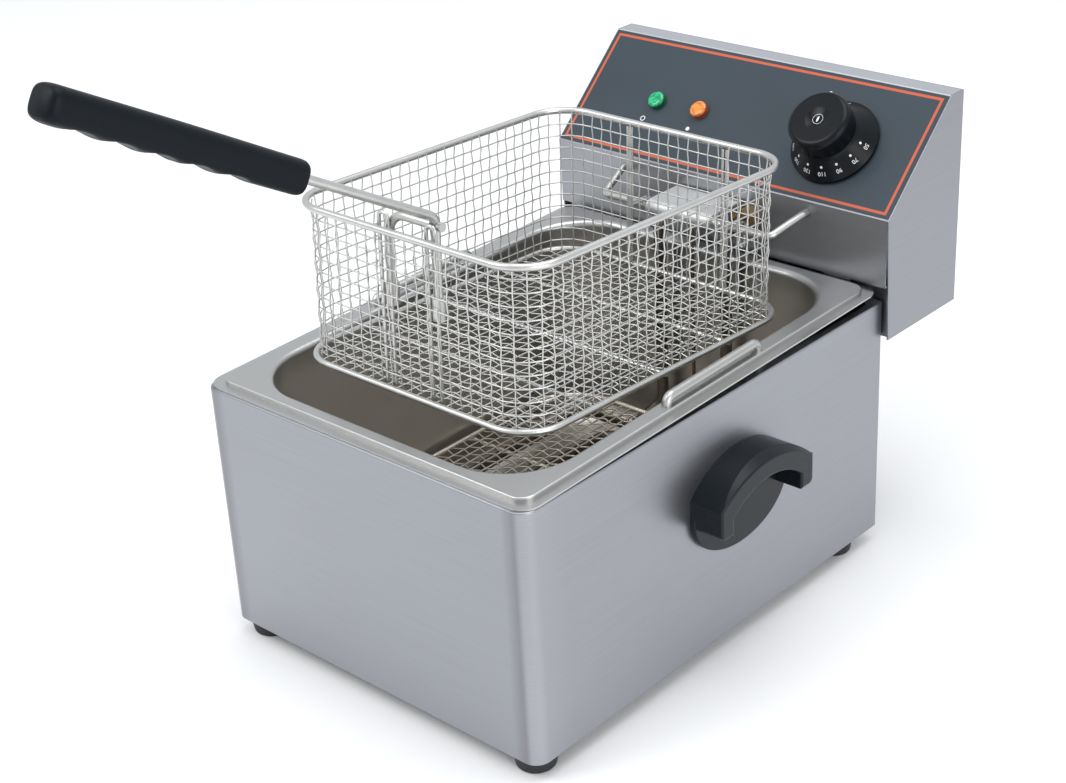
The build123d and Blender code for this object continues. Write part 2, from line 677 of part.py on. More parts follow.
def head_front():
    """The folded front of the head: lower front, step, upright front, fascia and top strip."""
    front = bent_sheet(head_outline(), SHEET, HEAD_SIDE - SHEET)
    slot_half = TONGUE_WIDTH / 2 + SLOT_CLEARANCE
    for side in (-1, 1):
        front -= block(
            (side * TONGUE_X - slot_half, WALL_INSIDE - BRACKET_SHEET - SLOT_CLEARANCE, HEAD_STEP - SHEET),
            (side * TONGUE_X + slot_half, WALL_INSIDE + SLOT_CLEARANCE / 2, HEAD_STEP + 2 * SHEET),
        )
    for place in element_outlets():
        front -= pin(place, (0, 1, 0), ELEMENT_ROD / 2 + HOLE_CLEARANCE, 3 * SHEET)
    capillary_place = (0, HEAD_FRONT, ELEMENT_OUTLET_Z)
    front -= pin(capillary_place, (0, 1, 0), CAPILLARY_ROD / 2 + HOLE_CLEARANCE, 3 * SHEET)
    for side in (-1, 1):
        place = (side * (HANGER_HALF + HANGER_SPLAY), HEAD_FRONT, HANGER_Z + HANGER_RISE)
        front -= pin(place, (0, 1, 0), HANGER_ROD / 2 + HOLE_CLEARANCE, 3 * SHEET)
    front -= fascia_post(KNOB_X, KNOB_DOWN, -3 * SHEET, SHEET, BUSH_RADIUS + HOLE_CLEARANCE)
    for x in LAMP_XS:
        front -= fascia_post(x, LAMP_DOWN, -3 * SHEET, SHEET, LAMP_SHANK_RADIUS + HOLE_CLEARANCE)
    return front


def head_side():
    """The right-hand cheek of the head with a return flange down its rear edge."""
    outline = [
        (HEAD_FRONT, FASCIA_BOTTOM),
        (FASCIA_TOP_Y, FASCIA_TOP_Z),
        (HEAD_REAR, FASCIA_TOP_Z),
        (HEAD_REAR, HEAD_BOTTOM),
        (HEAD_LOWER_FRONT - CHEEK_WRAP, HEAD_BOTTOM),
    ]
    cheek = Pos(HEAD_SIDE - SHEET / 2, 0, 0) * side_profile(outline, SHEET / 2)
    flange = block(
        (HEAD_SIDE - SIDE_FLANGE, HEAD_REAR - 2 * SHEET, HEAD_BOTTOM + SHEET),
        (HEAD_SIDE - SHEET, HEAD_REAR - SHEET, FASCIA_TOP_Z - SHEET),
    )
    return cheek + flange


def cover_screw_places():
    """The six screws that hold the back cover to the cheeks' flanges."""
    x = HEAD_SIDE - SHEET - SIDE_FLANGE / 2
    middle = (HEAD_BOTTOM + FASCIA_TOP_Z) / 2
    heights = [HEAD_BOTTOM + COVER_SCREW_INSET, middle, FASCIA_TOP_Z - COVER_SCREW_INSET]
    return [(s * x, z) for s in (-1, 1) for z in heights]


def reset_place():
    """The reset button's centre on the back cover."""
    return -HEAD_SIDE / 2, (HEAD_BOTTOM + FASCIA_TOP_Z) / 2


def gland_place():
    """The cable gland's centre on the back cover."""
    return HEAD_SIDE / 2, HEAD_BOTTOM + GLAND_ABOVE_BOTTOM


def head_back():
    """The back cover, with vent slots and the holes for the gland and the reset button."""
    back = block(
        (-HEAD_SIDE + SHEET, HEAD_REAR - SHEET, HEAD_BOTTOM), (HEAD_SIDE - SHEET, HEAD_REAR, FASCIA_TOP_Z)
    )
    for row in range(VENT_COUNT):
        z = FASCIA_TOP_Z - HEAD_VENT_DROP - row * VENT_PITCH
        back -= block(
            (-VENT_LENGTH / 2, HEAD_REAR - SHEET, z - VENT_HEIGHT / 2),
            (VENT_LENGTH / 2, HEAD_REAR, z + VENT_HEIGHT / 2),
        )
    x, z = reset_place()
    back -= pin((x, HEAD_REAR, z), (0, -1, 0), CUTOUT_NOSE_RADIUS, SHEET)
    x, z = gland_place()
    back -= pin((x, HEAD_REAR, z), (0, -1, 0), GLAND_SHANK_RADIUS, SHEET)
    for x, z in cover_screw_places():
        back -= pin((x, HEAD_REAR, z), (0, -1, 0), SMALL_SCREW_RADIUS, SHEET)
    return back


def head_bottom():
    """The plate that closes the head underneath."""
    return block(
        (-HEAD_SIDE + SHEET, HEAD_LOWER_FRONT + SHEET, HEAD_BOTTOM),
        (HEAD_SIDE - SHEET, HEAD_REAR - SHEET, HEAD_BOTTOM + SHEET),
    )


def cover_screws():
    """Small screws through the back cover."""
    shapes = []
    for x, z in cover_screw_places():
        head = pin((x, HEAD_REAR, z), (0, 1, 0), SMALL_SCREW_HEAD_RADIUS, SMALL_SCREW_HEAD_HEIGHT)
        head = fillet(head.edges().sort_by(Axis.Y)[-1], SMALL_SCREW_HEAD_HEIGHT / 2)
        shapes.append(head + pin((x, HEAD_REAR, z), (0, -1, 0), SMALL_SCREW_RADIUS, SHEET))
    return group(shapes)


def fascia_film():
    """The printed film on the sloping front."""
    half = HEAD_SIDE - SHEET
    film = FASCIA * block((-half, -FASCIA_LENGTH + FASCIA_MARGIN, 0), (half, -FASCIA_MARGIN, FASCIA_FILM))
    film -= fascia_post(KNOB_X, KNOB_DOWN, -SHEET, 3 * SHEET, BUSH_RADIUS + HOLE_CLEARANCE)
    for x in LAMP_XS:
        film -= fascia_post(x, LAMP_DOWN, -SHEET, 3 * SHEET, LAMP_SHANK_RADIUS + HOLE_CLEARANCE)
    return film


def knob():
    """A dial with a sloping skirt and a tall round cap with a finger dimple, bored for its shaft."""
    low = FASCIA_FILM + KNOB_GAP
    outline = Polyline(
        (0, low),
        (KNOB_SKIRT_RADIUS, low),
        (KNOB_SKIRT_RADIUS, low + KNOB_SKIRT_EDGE),
        (KNOB_CAP_RADIUS - KNOB_CAP_TAPER / 3, KNOB_SKIRT_HEIGHT),
        (KNOB_CAP_RADIUS - KNOB_CAP_TAPER, KNOB_SKIRT_HEIGHT + KNOB_SKIRT_EDGE),
        (KNOB_CAP_RADIUS, KNOB_HEIGHT),
        (0, KNOB_HEIGHT),
        close=True,
    )
    body = revolve(make_face(Plane.XZ * outline), Axis.Z)
    body = fillet(body.edges().sort_by(Axis.Z)[-1], KNOB_CAP_ROUNDING)
    dimple_height = KNOB_HEIGHT + KNOB_DIMPLE_RADIUS - KNOB_DIMPLE_DEPTH
    body -= Pos(0, 0, dimple_height) * Sphere(KNOB_DIMPLE_RADIUS)
    body -= pin((0, 0, low), (0, 0, 1), SHAFT_RADIUS, KNOB_HEIGHT - KNOB_COVER - low)
    body -= pin((0, 0, low), (0, 0, 1), BUSH_RADIUS + BUSH_ROOM, BUSH_PROUD + BUSH_ROOM)
    return on_fascia(KNOB_X, KNOB_DOWN, 0, body)


def thermostat_shaft():
    """The thermostat's spindle, which the knob turns."""
    return fascia_post(KNOB_X, KNOB_DOWN, -SHEET - SHAFT_TAIL, KNOB_HEIGHT - KNOB_COVER, SHAFT_RADIUS)


def thermostat():
    """The thermostat behind the fascia, with its threaded nose round the spindle."""
    size = THERMOSTAT_SIZE
    case = Box(size, size, THERMOSTAT_DEPTH, align=(Align.CENTER, Align.CENTER, Align.MAX))
    case = on_fascia(KNOB_X, KNOB_DOWN, -SHEET, case)
    nose_top = FASCIA_FILM + BUSH_PROUD
    nose = fascia_post(KNOB_X, KNOB_DOWN, -SHEET, nose_top, BUSH_RADIUS)
    bore_low = -SHEET - SHAFT_TAIL - SHAFT_END_GAP
    bore = fascia_post(KNOB_X, KNOB_DOWN, bore_low, nose_top, SHAFT_RADIUS + SHAFT_CLEARANCE)
    return case + nose - bore


def lamp(x):
    """A pilot lamp: a round-edged lens with a shank through the fascia."""
    dome = Cylinder(LAMP_RADIUS, LAMP_PROUD, align=(Align.CENTER, Align.CENTER, Align.MIN))
    dome = fillet(dome.edges().sort_by(Axis.Z)[-1], LAMP_ROUNDING)
    shank = Cylinder(LAMP_SHANK_RADIUS, FASCIA_FILM + SHEET, align=(Align.CENTER, Align.CENTER, Align.MAX))
    return on_fascia(x, LAMP_DOWN, FASCIA_FILM, dome + shank)


def lamp_body(x):
    """The lamp's body with its push-on clip behind the fascia."""
    clip_low = -SHEET - LAMP_CLIP_DEPTH
    clip = fascia_post(x, LAMP_DOWN, clip_low, -SHEET, LAMP_CLIP_RADIUS)
    return clip + fascia_post(x, LAMP_DOWN, -SHEET - LAMP_BODY_DEPTH, clip_low, LAMP_SHANK_RADIUS)


def cutout():
    """The high-limit cut-out behind the back cover, with a nose round its reset button."""
    x, z = reset_place()
    inside = HEAD_REAR - SHEET
    nose_length = SHEET + CUTOUT_NOSE_PROUD
    bore_length = nose_length + 2 * BUTTON_TRAVEL
    case = pin((x, inside, z), (0, -1, 0), CUTOUT_RADIUS, CUTOUT_DEPTH)
    case += pin((x, inside, z), (0, 1, 0), CUTOUT_NOSE_RADIUS, nose_length)
    return case - pin((x, inside + nose_length, z), (0, -1, 0), BUTTON_RADIUS + SHAFT_CLEARANCE, bore_length)


def reset_button():
    """The reset push button."""
    x, z = reset_place()
    root = SHEET + BUTTON_TRAVEL - BUTTON_BOTTOM_GAP
    body = pin((x, HEAD_REAR - root, z), (0, 1, 0), BUTTON_RADIUS, root + BUTTON_PROUD)
    return fillet(body.edges().sort_by(Axis.Y)[-1], BUTTON_ROUNDING)


def cable_gland():
    """The inlet for the mains lead: a flange outside, a shank and a nut inside."""
    x, z = gland_place()
    body = pin((x, HEAD_REAR, z), (0, 1, 0), GLAND_RADIUS, GLAND_FLANGE)
    body += pin((x, HEAD_REAR, z), (0, 1, 0), GLAND_SHANK_RADIUS, GLAND_PROUD)
    body = fillet(body.edges().sort_by(Axis.Y)[-1], GLAND_FLANGE / 3)
    body += pin((x, HEAD_REAR, z), (0, -1, 0), GLAND_SHANK_RADIUS, GLAND_SHANK_LENGTH)
    nut_seat = Plane(origin=(x, HEAD_REAR - SHEET, z), z_dir=(0, -1, 0))
    nut = nut_seat * extrude(RegularPolygon(GLAND_NUT_RADIUS, 6), GLAND_NUT_HEIGHT)
    outside = (x, HEAD_REAR + GLAND_PROUD, z)
    return body + nut - pin(outside, (0, -1, 0), GLAND_BORE_RADIUS, GLAND_PROUD + GLAND_SHANK_LENGTH)


def terminal_block():
    """The wiring terminal block on the head's floor, with its rows of screw holes."""
    middle_x = gland_place()[0] - TERMINAL_FROM_GLAND
    middle_y = HEAD_REAR - TERMINAL_FROM_BACK
    low = HEAD_BOTTOM + SHEET
    top = low + TERMINAL_HEIGHT
    half = TERMINAL_LENGTH / 2
    body = block(
        (middle_x - half, middle_y - TERMINAL_WIDTH / 2, low),
        (middle_x + half, middle_y + TERMINAL_WIDTH / 2, top),
    )
    for way in range(TERMINAL_WAYS):
        x = middle_x + (way - (TERMINAL_WAYS - 1) / 2) * TERMINAL_LENGTH / (TERMINAL_WAYS + 1)
        for side in (-1, 1):
            place = (x, middle_y + side * TERMINAL_WIDTH / 4, top)
            body -= pin(place, (0, 0, -1), TERMINAL_HOLE_RADIUS, TERMINAL_HOLE_DEPTH)
    return body


def switch_place():
    """The bottom middle of the safety switch, above the right-hand tongue."""
    return TONGUE_X, WALL_INSIDE - BRACKET_SHEET / 2, TONGUE_TOP + SWITCH_GAP


def safety_switch():
    """The switch that cuts the power when the head is lifted off, fixed behind the head's front."""
    x, y, z = switch_place()
    body = block(
        (x - SWITCH_LENGTH / 2, HEAD_FRONT + SHEET, z),
        (x + SWITCH_LENGTH / 2, y + SWITCH_REAR, z + SWITCH_HEIGHT),
    )
    return body - pin((x, y, z), (0, 0, 1), PLUNGER_RADIUS + SHAFT_CLEARANCE, SWITCH_HEIGHT / 2)


def safety_plunger():
    """The switch's plunger, which the tongue pushes up."""
    x, y, _ = switch_place()
    return pin((x, y, TONGUE_TOP + PLUNGER_GAP), (0, 0, 1), PLUNGER_RADIUS, PLUNGER_LENGTH)


def element_half():
    """Half of the element's route: out of the head, down behind the basket, and to and fro."""
    rear = ELEMENT_LEG_Y - ELEMENT_REAR_SWEEP
    turn = ELEMENT_LEG_Y - ELEMENT_LOOP_GAP
    front = OPENING_FRONT + ELEMENT_FRONT_GAP
    middle = ELEMENT_SIDE - ELEMENT_PITCH
    z = ELEMENT_HEIGHT
    return [
        (ELEMENT_LEG_X, HEAD_FRONT + ELEMENT_TAIL, ELEMENT_OUTLET_Z),
        (ELEMENT_LEG_X, ELEMENT_LEG_Y, ELEMENT_OUTLET_Z),
        (ELEMENT_LEG_X, ELEMENT_LEG_Y, z + ELEMENT_KNEE_RISE),
        (ELEMENT_LEG_X + ELEMENT_KNEE_REACH, rear, z),
        (ELEMENT_SIDE, rear, z),
        (ELEMENT_SIDE, front, z),
        (middle, front, z),
        (middle, turn, z),
        (ELEMENT_INNER_X, turn, z),
        (ELEMENT_INNER_X, front, z),
    ]


def heating_element():
    """The bent tubular element, one rod with two upright legs."""
    half = element_half()
    return rod(half + [(-x, y, z) for x, y, z in reversed(half)], ELEMENT_ROD, ELEMENT_BEND)


def element_nuts():
    """The hexagon nuts that hold the element's legs in the head's front, inside and out."""
    outline = RegularPolygon(NUT_FLATS / 2, 6, major_radius=False) - Circle(ELEMENT_ROD / 2)
    shapes = []
    for x, y, z in element_outlets():
        for start, way in ((y, -1), (y + SHEET, 1)):
            shapes.append(Plane(origin=(x, start, z), z_dir=(0, way, 0)) * extrude(outline, NUT_LENGTH))
    return group(shapes)


def thermostat_bulb():
    """The thermostat's capillary out of the head and its bulb between the element's middle runs."""
    z = ELEMENT_HEIGHT
    bulb_y = ELEMENT_LEG_Y - BULB_SETBACK
    path = [
        (0, HEAD_FRONT + CAPILLARY_TAIL, ELEMENT_OUTLET_Z),
        (0, ELEMENT_LEG_Y, ELEMENT_OUTLET_Z),
        (0, ELEMENT_LEG_Y, z),
        (0, bulb_y - CAPILLARY_ROD / 2, z),
    ]
    bulb = fillet(pin((0, bulb_y, z), (0, -1, 0), BULB_ROD / 2, BULB_LENGTH).edges(), BULB_ROD / 6)
    return rod(path, CAPILLARY_ROD, CAPILLARY_BEND) + bulb


def guard_span():
    """The guard's front and back over the element."""
    return OPENING_FRONT + GUARD_FRONT_GAP, OPENING_REAR - GUARD_REAR_GAP


def guard_frame():
    """The guard's outer rod, round above the element."""
    front, back = guard_span()
    return ring(GUARD_HALF, front, back, GUARD_CORNER, GUARD_HEIGHT, GUARD_ROD)


def guard_mesh():
    """The guard's wire cloth, as a thin plate inside the frame."""
    front, back = guard_span()
    inset = GUARD_ROD / 2
    low = GUARD_HEIGHT - GUARD_MESH / 2
    return rounded_prism(
        GUARD_HALF - inset, front + inset, back - inset, GUARD_CORNER - inset, low, low + GUARD_MESH
    )


def guard_bars():
    """Bars under the wire cloth, the front two with feet down to the element's runs."""
    front, back = guard_span()
    z = GUARD_HEIGHT - GUARD_MESH / 2 - GUARD_BAR / 2
    half = GUARD_HALF - GUARD_BAR_INSET
    foot_x = ELEMENT_SIDE - ELEMENT_PITCH
    foot_length = z - ELEMENT_HEIGHT - ELEMENT_ROD / 2
    rear_bar = pin((-half, back - GUARD_BAR_REAR, z), (1, 0, 0), GUARD_BAR / 2, 2 * half)
    shapes = [rear_bar]
    for y in (front + GUARD_BAR_FRONT, (front + back) / 2 + GUARD_BAR_MIDDLE):
        bar = pin((-half, y, z), (1, 0, 0), GUARD_BAR / 2, 2 * half)
        for side in (-1, 1):
            bar += pin((side * foot_x, y, z), (0, 0, -1), GUARD_BAR / 2, foot_length)
        shapes.append(bar)
    return group(shapes)


def hanger_rod():
    """The U-shaped rod on the head's front that the basket hangs on, its ends splayed and raised."""
    end_x = HANGER_HALF + HANGER_SPLAY
    end_z = HANGER_Z + HANGER_RISE
    right = [
        (HANGER_HALF, HANGER_Y, HANGER_Z),
        (end_x, HEAD_FRONT - HANGER_STRAIGHT, end_z),
        (end_x, HEAD_FRONT + HANGER_TAIL, end_z),
    ]
    return rod([(-x, y, z) for x, y, z in reversed(right)] + right, HANGER_ROD, HANGER_BEND)


def hanger_plate():
    """The cover plate rolled round the hanger's bar, its flat tail running back over the nuts."""
    width = ROLL_RIGHT - ROLL_LEFT
    start = (ROLL_LEFT, HANGER_Y, HANGER_Z)
    top = HANGER_Z + ROLL_RADIUS
    tail_end = HEAD_FRONT - ROLL_TAIL_GAP
    tail = block((ROLL_LEFT, HANGER_Y, top - ROLL_SHEET), (ROLL_RIGHT, tail_end, top))
    roll = pin(start, (1, 0, 0), ROLL_RADIUS, width) + tail
    return roll - pin(start, (1, 0, 0), HANGER_ROD / 2 + SHAFT_CLEARANCE, width)


def basket_wall_half():
    """Half the width of the basket's wire walls, outside."""
    return BASKET_HALF - BASKET_WALL_INSET


def basket_mesh():
    """The basket's wire cloth, as a thin open box inside its rim and bottom ring."""
    half = basket_wall_half()
    end = BASKET_DEPTH / 2 - BASKET_WALL_INSET
    corner = BASKET_CORNER - BASKET_WALL_INSET
    top = -sqrt((BASKET_RIM_ROD / 2) ** 2 - BASKET_WALL_INSET**2)
    low = -BASKET_HEIGHT - BASKET_WALL / 2
    thick = BASKET_WALL
    walls = rounded_prism(half, -end, end, corner, low, top)
    inner = rounded_prism(half - thick, -end + thick, end - thick, corner - thick, low + thick, top)
    return BASKET_FRAME * (walls - inner)


def basket_rim():
    """The rod round the basket's mouth."""
    end = BASKET_DEPTH / 2
    return BASKET_FRAME * ring(BASKET_HALF, -end, end, BASKET_CORNER, 0, BASKET_RIM_ROD)


def basket_ring():
    """The rod round the basket's bottom edge."""
    grow = BASKET_RING_ROD / 2 - BASKET_WALL_INSET
    half = BASKET_HALF + grow
    end = BASKET_DEPTH / 2 + grow
    return BASKET_FRAME * ring(half, -end, end, BASKET_CORNER + grow, -BASKET_HEIGHT, BASKET_RING_ROD)


def floor_bars():
    """Thicker bars under the basket's floor, joined to the bottom ring."""
    half = BASKET_HALF
    z = -BASKET_HEIGHT - BASKET_WALL / 2 - FLOOR_BAR_ROD / 2
    shapes = []
    for i in range(FLOOR_BAR_COUNT):
        y = (i - (FLOOR_BAR_COUNT - 1) / 2) * BASKET_DEPTH / (FLOOR_BAR_COUNT + 1)
        shapes.append(BASKET_FRAME * pin((-half, y, z), (1, 0, 0), FLOOR_BAR_ROD / 2, 2 * half))
    return group(shapes)


def hairpins():
    """The two upright wire hairpins inside the basket's front wall that take the handle's legs."""
    y = -BASKET_DEPTH / 2 + BASKET_WALL_INSET + BASKET_WALL + HAIRPIN_ROD / 2
    low = -BASKET_HEIGHT + BASKET_WALL / 2
    reach = HAIRPIN_SPREAD / 2
    shapes = []
    for side in (-1, 1):
        left = side * FRAME_HALF - reach
        right = side * FRAME_HALF + reach
        points = [(left, y, low), (left, y, HAIRPIN_RISE), (right, y, HAIRPIN_RISE), (right, y, low)]
        shapes.append(BASKET_FRAME * rod(points, HAIRPIN_ROD, HAIRPIN_BEND))
    return group(shapes)


def handle_sockets():
    """Two short cups on the hairpins, in which the ends of the handle's legs stand."""
    y, z = handle_start()
    leg_end = z - FRAME_LEG - SOCKET_END_GAP
    bore = FRAME_ROD / 2 + SHAFT_CLEARANCE
    shapes = []
    for side in (-1, 1):
        x = side * FRAME_HALF
        cup = pin((x, y, leg_end - SOCKET_WALL), (0, 0, 1), bore + SOCKET_WALL, SOCKET_LENGTH + SOCKET_WALL)
        shapes.append(BASKET_FRAME * (cup - pin((x, y, leg_end), (0, 0, 1), bore, SOCKET_LENGTH)))
    return group(shapes)


def hook_bar_in_basket():
    """The hanger bar's place as the basket's own frame sees it, as (y, z)."""
    tilt = radians(BASKET_TILT)
    dy = HANGER_Y - (BASKET_FRONT + BASKET_BACK) / 2
    dz = HANGER_Z - BASKET_RIM_Z
    return dy * cos(tilt) - dz * sin(tilt), dy * sin(tilt) + dz * cos(tilt)


def hooks():
    """Two wire hooks over the hanger bar, each on two uprights down the basket's rear wall."""
    wall_y = BASKET_DEPTH / 2 - BASKET_WALL_INSET + HOOK_UPRIGHT / 2
    bar_y, bar_z = hook_bar_in_basket()
    top = bar_z + HANGER_ROD / 2 + HOOK_TOP_GAP + HOOK_ROD / 2
    tip_y = bar_y + HANGER_ROD / 2 + HOOK_CLEARANCE + HOOK_ROD / 2
    low = -BASKET_HEIGHT + BASKET_RING_ROD / 2
    upright_length = -BASKET_RIM_ROD / 2 - low
    half = HOOK_SPREAD / 2
    bends = [HOOK_BEND, HOOK_TURN, HOOK_TURN, HOOK_BEND]
    route = [(wall_y, top), (tip_y, top), (tip_y, bar_z - HOOK_TIP_DROP)]
    shapes = []
    for side in (-1, 1):
        x = HOOK_MIDDLE + side * HOOK_HALF_SPACING
        left = [(x - half, y, z) for y, z in route]
        right = [(x + half, y, z) for y, z in reversed(route)]
        wire = rod(left + right, HOOK_ROD, bends)
        for upright_x in (x - half, x + half):
            wire += pin((upright_x, wall_y, low), (0, 0, 1), HOOK_UPRIGHT / 2, upright_length)
        shapes.append(BASKET_FRAME * wire)
    return group(shapes)


def handle_start():
    """Where the handle rod bends down into its right-hand leg, as (y, z) in the basket's frame."""
    return -BASKET_DEPTH / 2 + FRAME_INSET, FRAME_TOP


def along_handle(distance):
    """A point on the handle rod's line in the basket's frame."""
    y, z = handle_start()
    angle = radians(HANDLE_ANGLE)
    return y - distance * cos(angle), z + distance * sin(angle)


def handle_rod():
    """The handle's long rod with its bend and right-hand leg."""
    y, z = handle_start()
    out_y, out_z = along_handle(HANDLE_ROD_OUT + GRIP_SOCKET)
    points = [(FRAME_HALF, out_y, out_z), (FRAME_HALF, y, z), (FRAME_HALF, y, z - FRAME_LEG)]
    return BASKET_FRAME * rod(points, FRAME_ROD, FRAME_BEND)


def handle_arch():
    """The arch rod from the right-hand leg over to its own left-hand leg."""
    y, z = handle_start()
    top = z - ARCH_DROP
    start = FRAME_HALF - FRAME_ROD / 2
    points = [(start, y, top), (-FRAME_HALF, y, top), (-FRAME_HALF, y, z - FRAME_LEG)]
    arch = rod(points, FRAME_ROD, ARCH_BEND)
    stub = pin((FRAME_HALF + FRAME_ROD / 2, y, top), (1, 0, 0), FRAME_ROD / 2, ARCH_STUB)
    return group([BASKET_FRAME * arch, BASKET_FRAME * stub])


def grip():
    """The moulded grip with finger scallops underneath, bored for the rod."""
    y, z = along_handle(HANDLE_ROD_OUT)
    direction = (0, -cos(radians(HANDLE_ANGLE)), sin(radians(HANDLE_ANGLE)))
    axis = Plane(origin=(FRAME_HALF, y, z), x_dir=(1, 0, 0), z_dir=direction)
    section = RectangleRounded(GRIP_WIDTH, GRIP_THICKNESS, GRIP_ROUNDING)
    body = extrude(section, GRIP_LENGTH)
    body = fillet(body.faces().sort_by(Axis.Z)[-1].edges(), GRIP_OUTER_ROUNDING)
    body = fillet(body.faces().sort_by(Axis.Z)[0].edges(), GRIP_INNER_ROUNDING)
    bite_radius = (GRIP_SCALLOP_PITCH / 2) ** 2 / (2 * GRIP_SCALLOP_DEPTH) + GRIP_SCALLOP_DEPTH / 2
    bite = Cylinder(bite_radius, 2 * GRIP_WIDTH, rotation=(0, 90, 0))
    bite_y = GRIP_SCALLOP_DEPTH - GRIP_THICKNESS / 2 - bite_radius
    for i in range(GRIP_SCALLOPS):
        along = GRIP_LENGTH - GRIP_OUTER_MARGIN - (i + 0.5) * GRIP_SCALLOP_PITCH
        body -= Pos(0, bite_y, along) * bite
    body -= pin((0, 0, 0), (0, 0, 1), FRAME_ROD / 2 + SHAFT_CLEARANCE, GRIP_SOCKET)
    return BASKET_FRAME * (axis * body)


def nodes():
    """Every node's shape by name."""
    handle = side_handle()
    cheek = head_side()
    bar = drop_handle()
    parts = {
        "casing_shell": casing_shell(),
        "casing_base": casing_base(),
        "foot_screws": foot_screws(),
        "side_handle_right": handle,
        "side_handle_left": mirrored(handle),
        "side_handle_screws": side_handle_screws(),
        "head_bracket": head_bracket(),
        "oil_pan": oil_pan(),
        "pan_handle_right": bar,
        "pan_handle_left": mirrored(bar),
        "head_front": head_front(),
        "head_side_right": cheek,
        "head_side_left": mirrored(cheek),
        "head_back": head_back(),
        "head_bottom": head_bottom(),
        "cover_screws": cover_screws(),
        "fascia_film": fascia_film(),
        "thermostat_knob": knob(),
        "thermostat_shaft": thermostat_shaft(),
        "thermostat_body": thermostat(),
        "thermostat_bulb": thermostat_bulb(),
        "power_lamp": lamp(LAMP_XS[0]),
        "heating_lamp": lamp(LAMP_XS[1]),
        "power_lamp_body": lamp_body(LAMP_XS[0]),
        "heating_lamp_body": lamp_body(LAMP_XS[1]),
        "cutout_body": cutout(),
        "reset_button": reset_button(),
        "cable_gland": cable_gland(),
        "terminal_block": terminal_block(),
        "safety_switch": safety_switch(),
        "safety_plunger": safety_plunger(),
        "heating_element": heating_element(),
        "element_nuts": element_nuts(),
        "guard_frame": guard_frame(),
        "guard_mesh": guard_mesh(),
        "guard_bars": guard_bars(),
        "hanger_rod": hanger_rod(),
        "hanger_plate": hanger_plate(),
        "basket_mesh": basket_mesh(),
        "basket_rim": basket_rim(),
        "basket_bottom_ring": basket_ring(),
        "basket_floor_bars": floor_bars(),
        "basket_hairpins": hairpins(),
        "basket_hooks": hooks(),
        "handle_sockets": handle_sockets(),
        "handle_rod": handle_rod(),
        "handle_arch": handle_arch(),
        "handle_grip": grip(),
    }
    for name, x, y in foot_places():
        parts["foot_" + name] = foot(x, y)
    return parts


def write(parts):
    """Moves everything so that the origin is under the middle of the fryer, and writes it."""
    boxes = [shape.bounding_box() for shape in parts.values()]
    middle = (min(b.min.Y for b in boxes) + max(b.max.Y for b in boxes)) / 2
    os.makedirs("parts", exist_ok=True)
    for name, shape in parts.items():
        export_step(Pos(0, -middle, 0) * shape, f"parts/{name}.step")
    return middle


MIDDLE_Y = write(nodes())
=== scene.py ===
import json
from math import cos, pi, radians, sin, sqrt

import bmesh
import bpy
from mathutils import Matrix, Vector


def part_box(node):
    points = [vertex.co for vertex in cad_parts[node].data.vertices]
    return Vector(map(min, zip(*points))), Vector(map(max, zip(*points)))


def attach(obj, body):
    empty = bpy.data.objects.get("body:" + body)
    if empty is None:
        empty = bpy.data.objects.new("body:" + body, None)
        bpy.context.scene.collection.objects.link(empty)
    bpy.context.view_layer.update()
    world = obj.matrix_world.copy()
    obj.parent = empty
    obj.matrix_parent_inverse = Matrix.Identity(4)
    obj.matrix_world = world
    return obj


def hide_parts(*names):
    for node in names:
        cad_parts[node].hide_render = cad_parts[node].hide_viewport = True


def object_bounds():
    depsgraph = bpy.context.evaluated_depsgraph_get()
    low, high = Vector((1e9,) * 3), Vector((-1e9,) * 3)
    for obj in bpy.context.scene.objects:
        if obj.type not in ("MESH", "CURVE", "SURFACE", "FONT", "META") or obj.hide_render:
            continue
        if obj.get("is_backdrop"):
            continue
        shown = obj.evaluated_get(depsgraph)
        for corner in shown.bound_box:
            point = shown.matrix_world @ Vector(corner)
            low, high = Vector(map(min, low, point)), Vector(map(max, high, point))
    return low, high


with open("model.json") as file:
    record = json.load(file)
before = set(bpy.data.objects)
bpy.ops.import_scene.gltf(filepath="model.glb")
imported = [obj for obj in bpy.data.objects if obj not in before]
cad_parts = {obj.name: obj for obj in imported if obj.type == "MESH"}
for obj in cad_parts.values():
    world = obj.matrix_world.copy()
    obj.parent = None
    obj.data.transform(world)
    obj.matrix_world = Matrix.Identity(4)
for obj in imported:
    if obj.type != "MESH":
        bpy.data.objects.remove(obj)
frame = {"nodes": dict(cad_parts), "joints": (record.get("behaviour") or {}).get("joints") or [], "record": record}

# A countertop deep fryer: finishes for its CAD pieces, and the wire cloth, the grip's skin and the
# printed figures, which are modelled here. Metres, in the frame's own axes: the front faces -Y and
# +Z is up.

MM = 0.001
CAD_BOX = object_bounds()
JOINTS = {joint["name"]: joint for joint in frame["joints"]}

# Wire cloth
CLOTH_PITCH = 8.0 * MM
CLOTH_WIRE = 0.95 * MM
CLOTH_CRIMP = 0.55 * MM
HOOP_CRIMP = 0.15 * MM
FLAT_CRIMP = 0.6
GUARD_PITCH = 7.6 * MM
GUARD_WIRE = 1.2 * MM
RIM_ROD = 4.5 * MM
RING_ROD = 4.0 * MM
CLOTH_INSET = 3.1 * MM
BASKET_CORNER = 26.5 * MM
GUARD_CORNER = 39.0 * MM

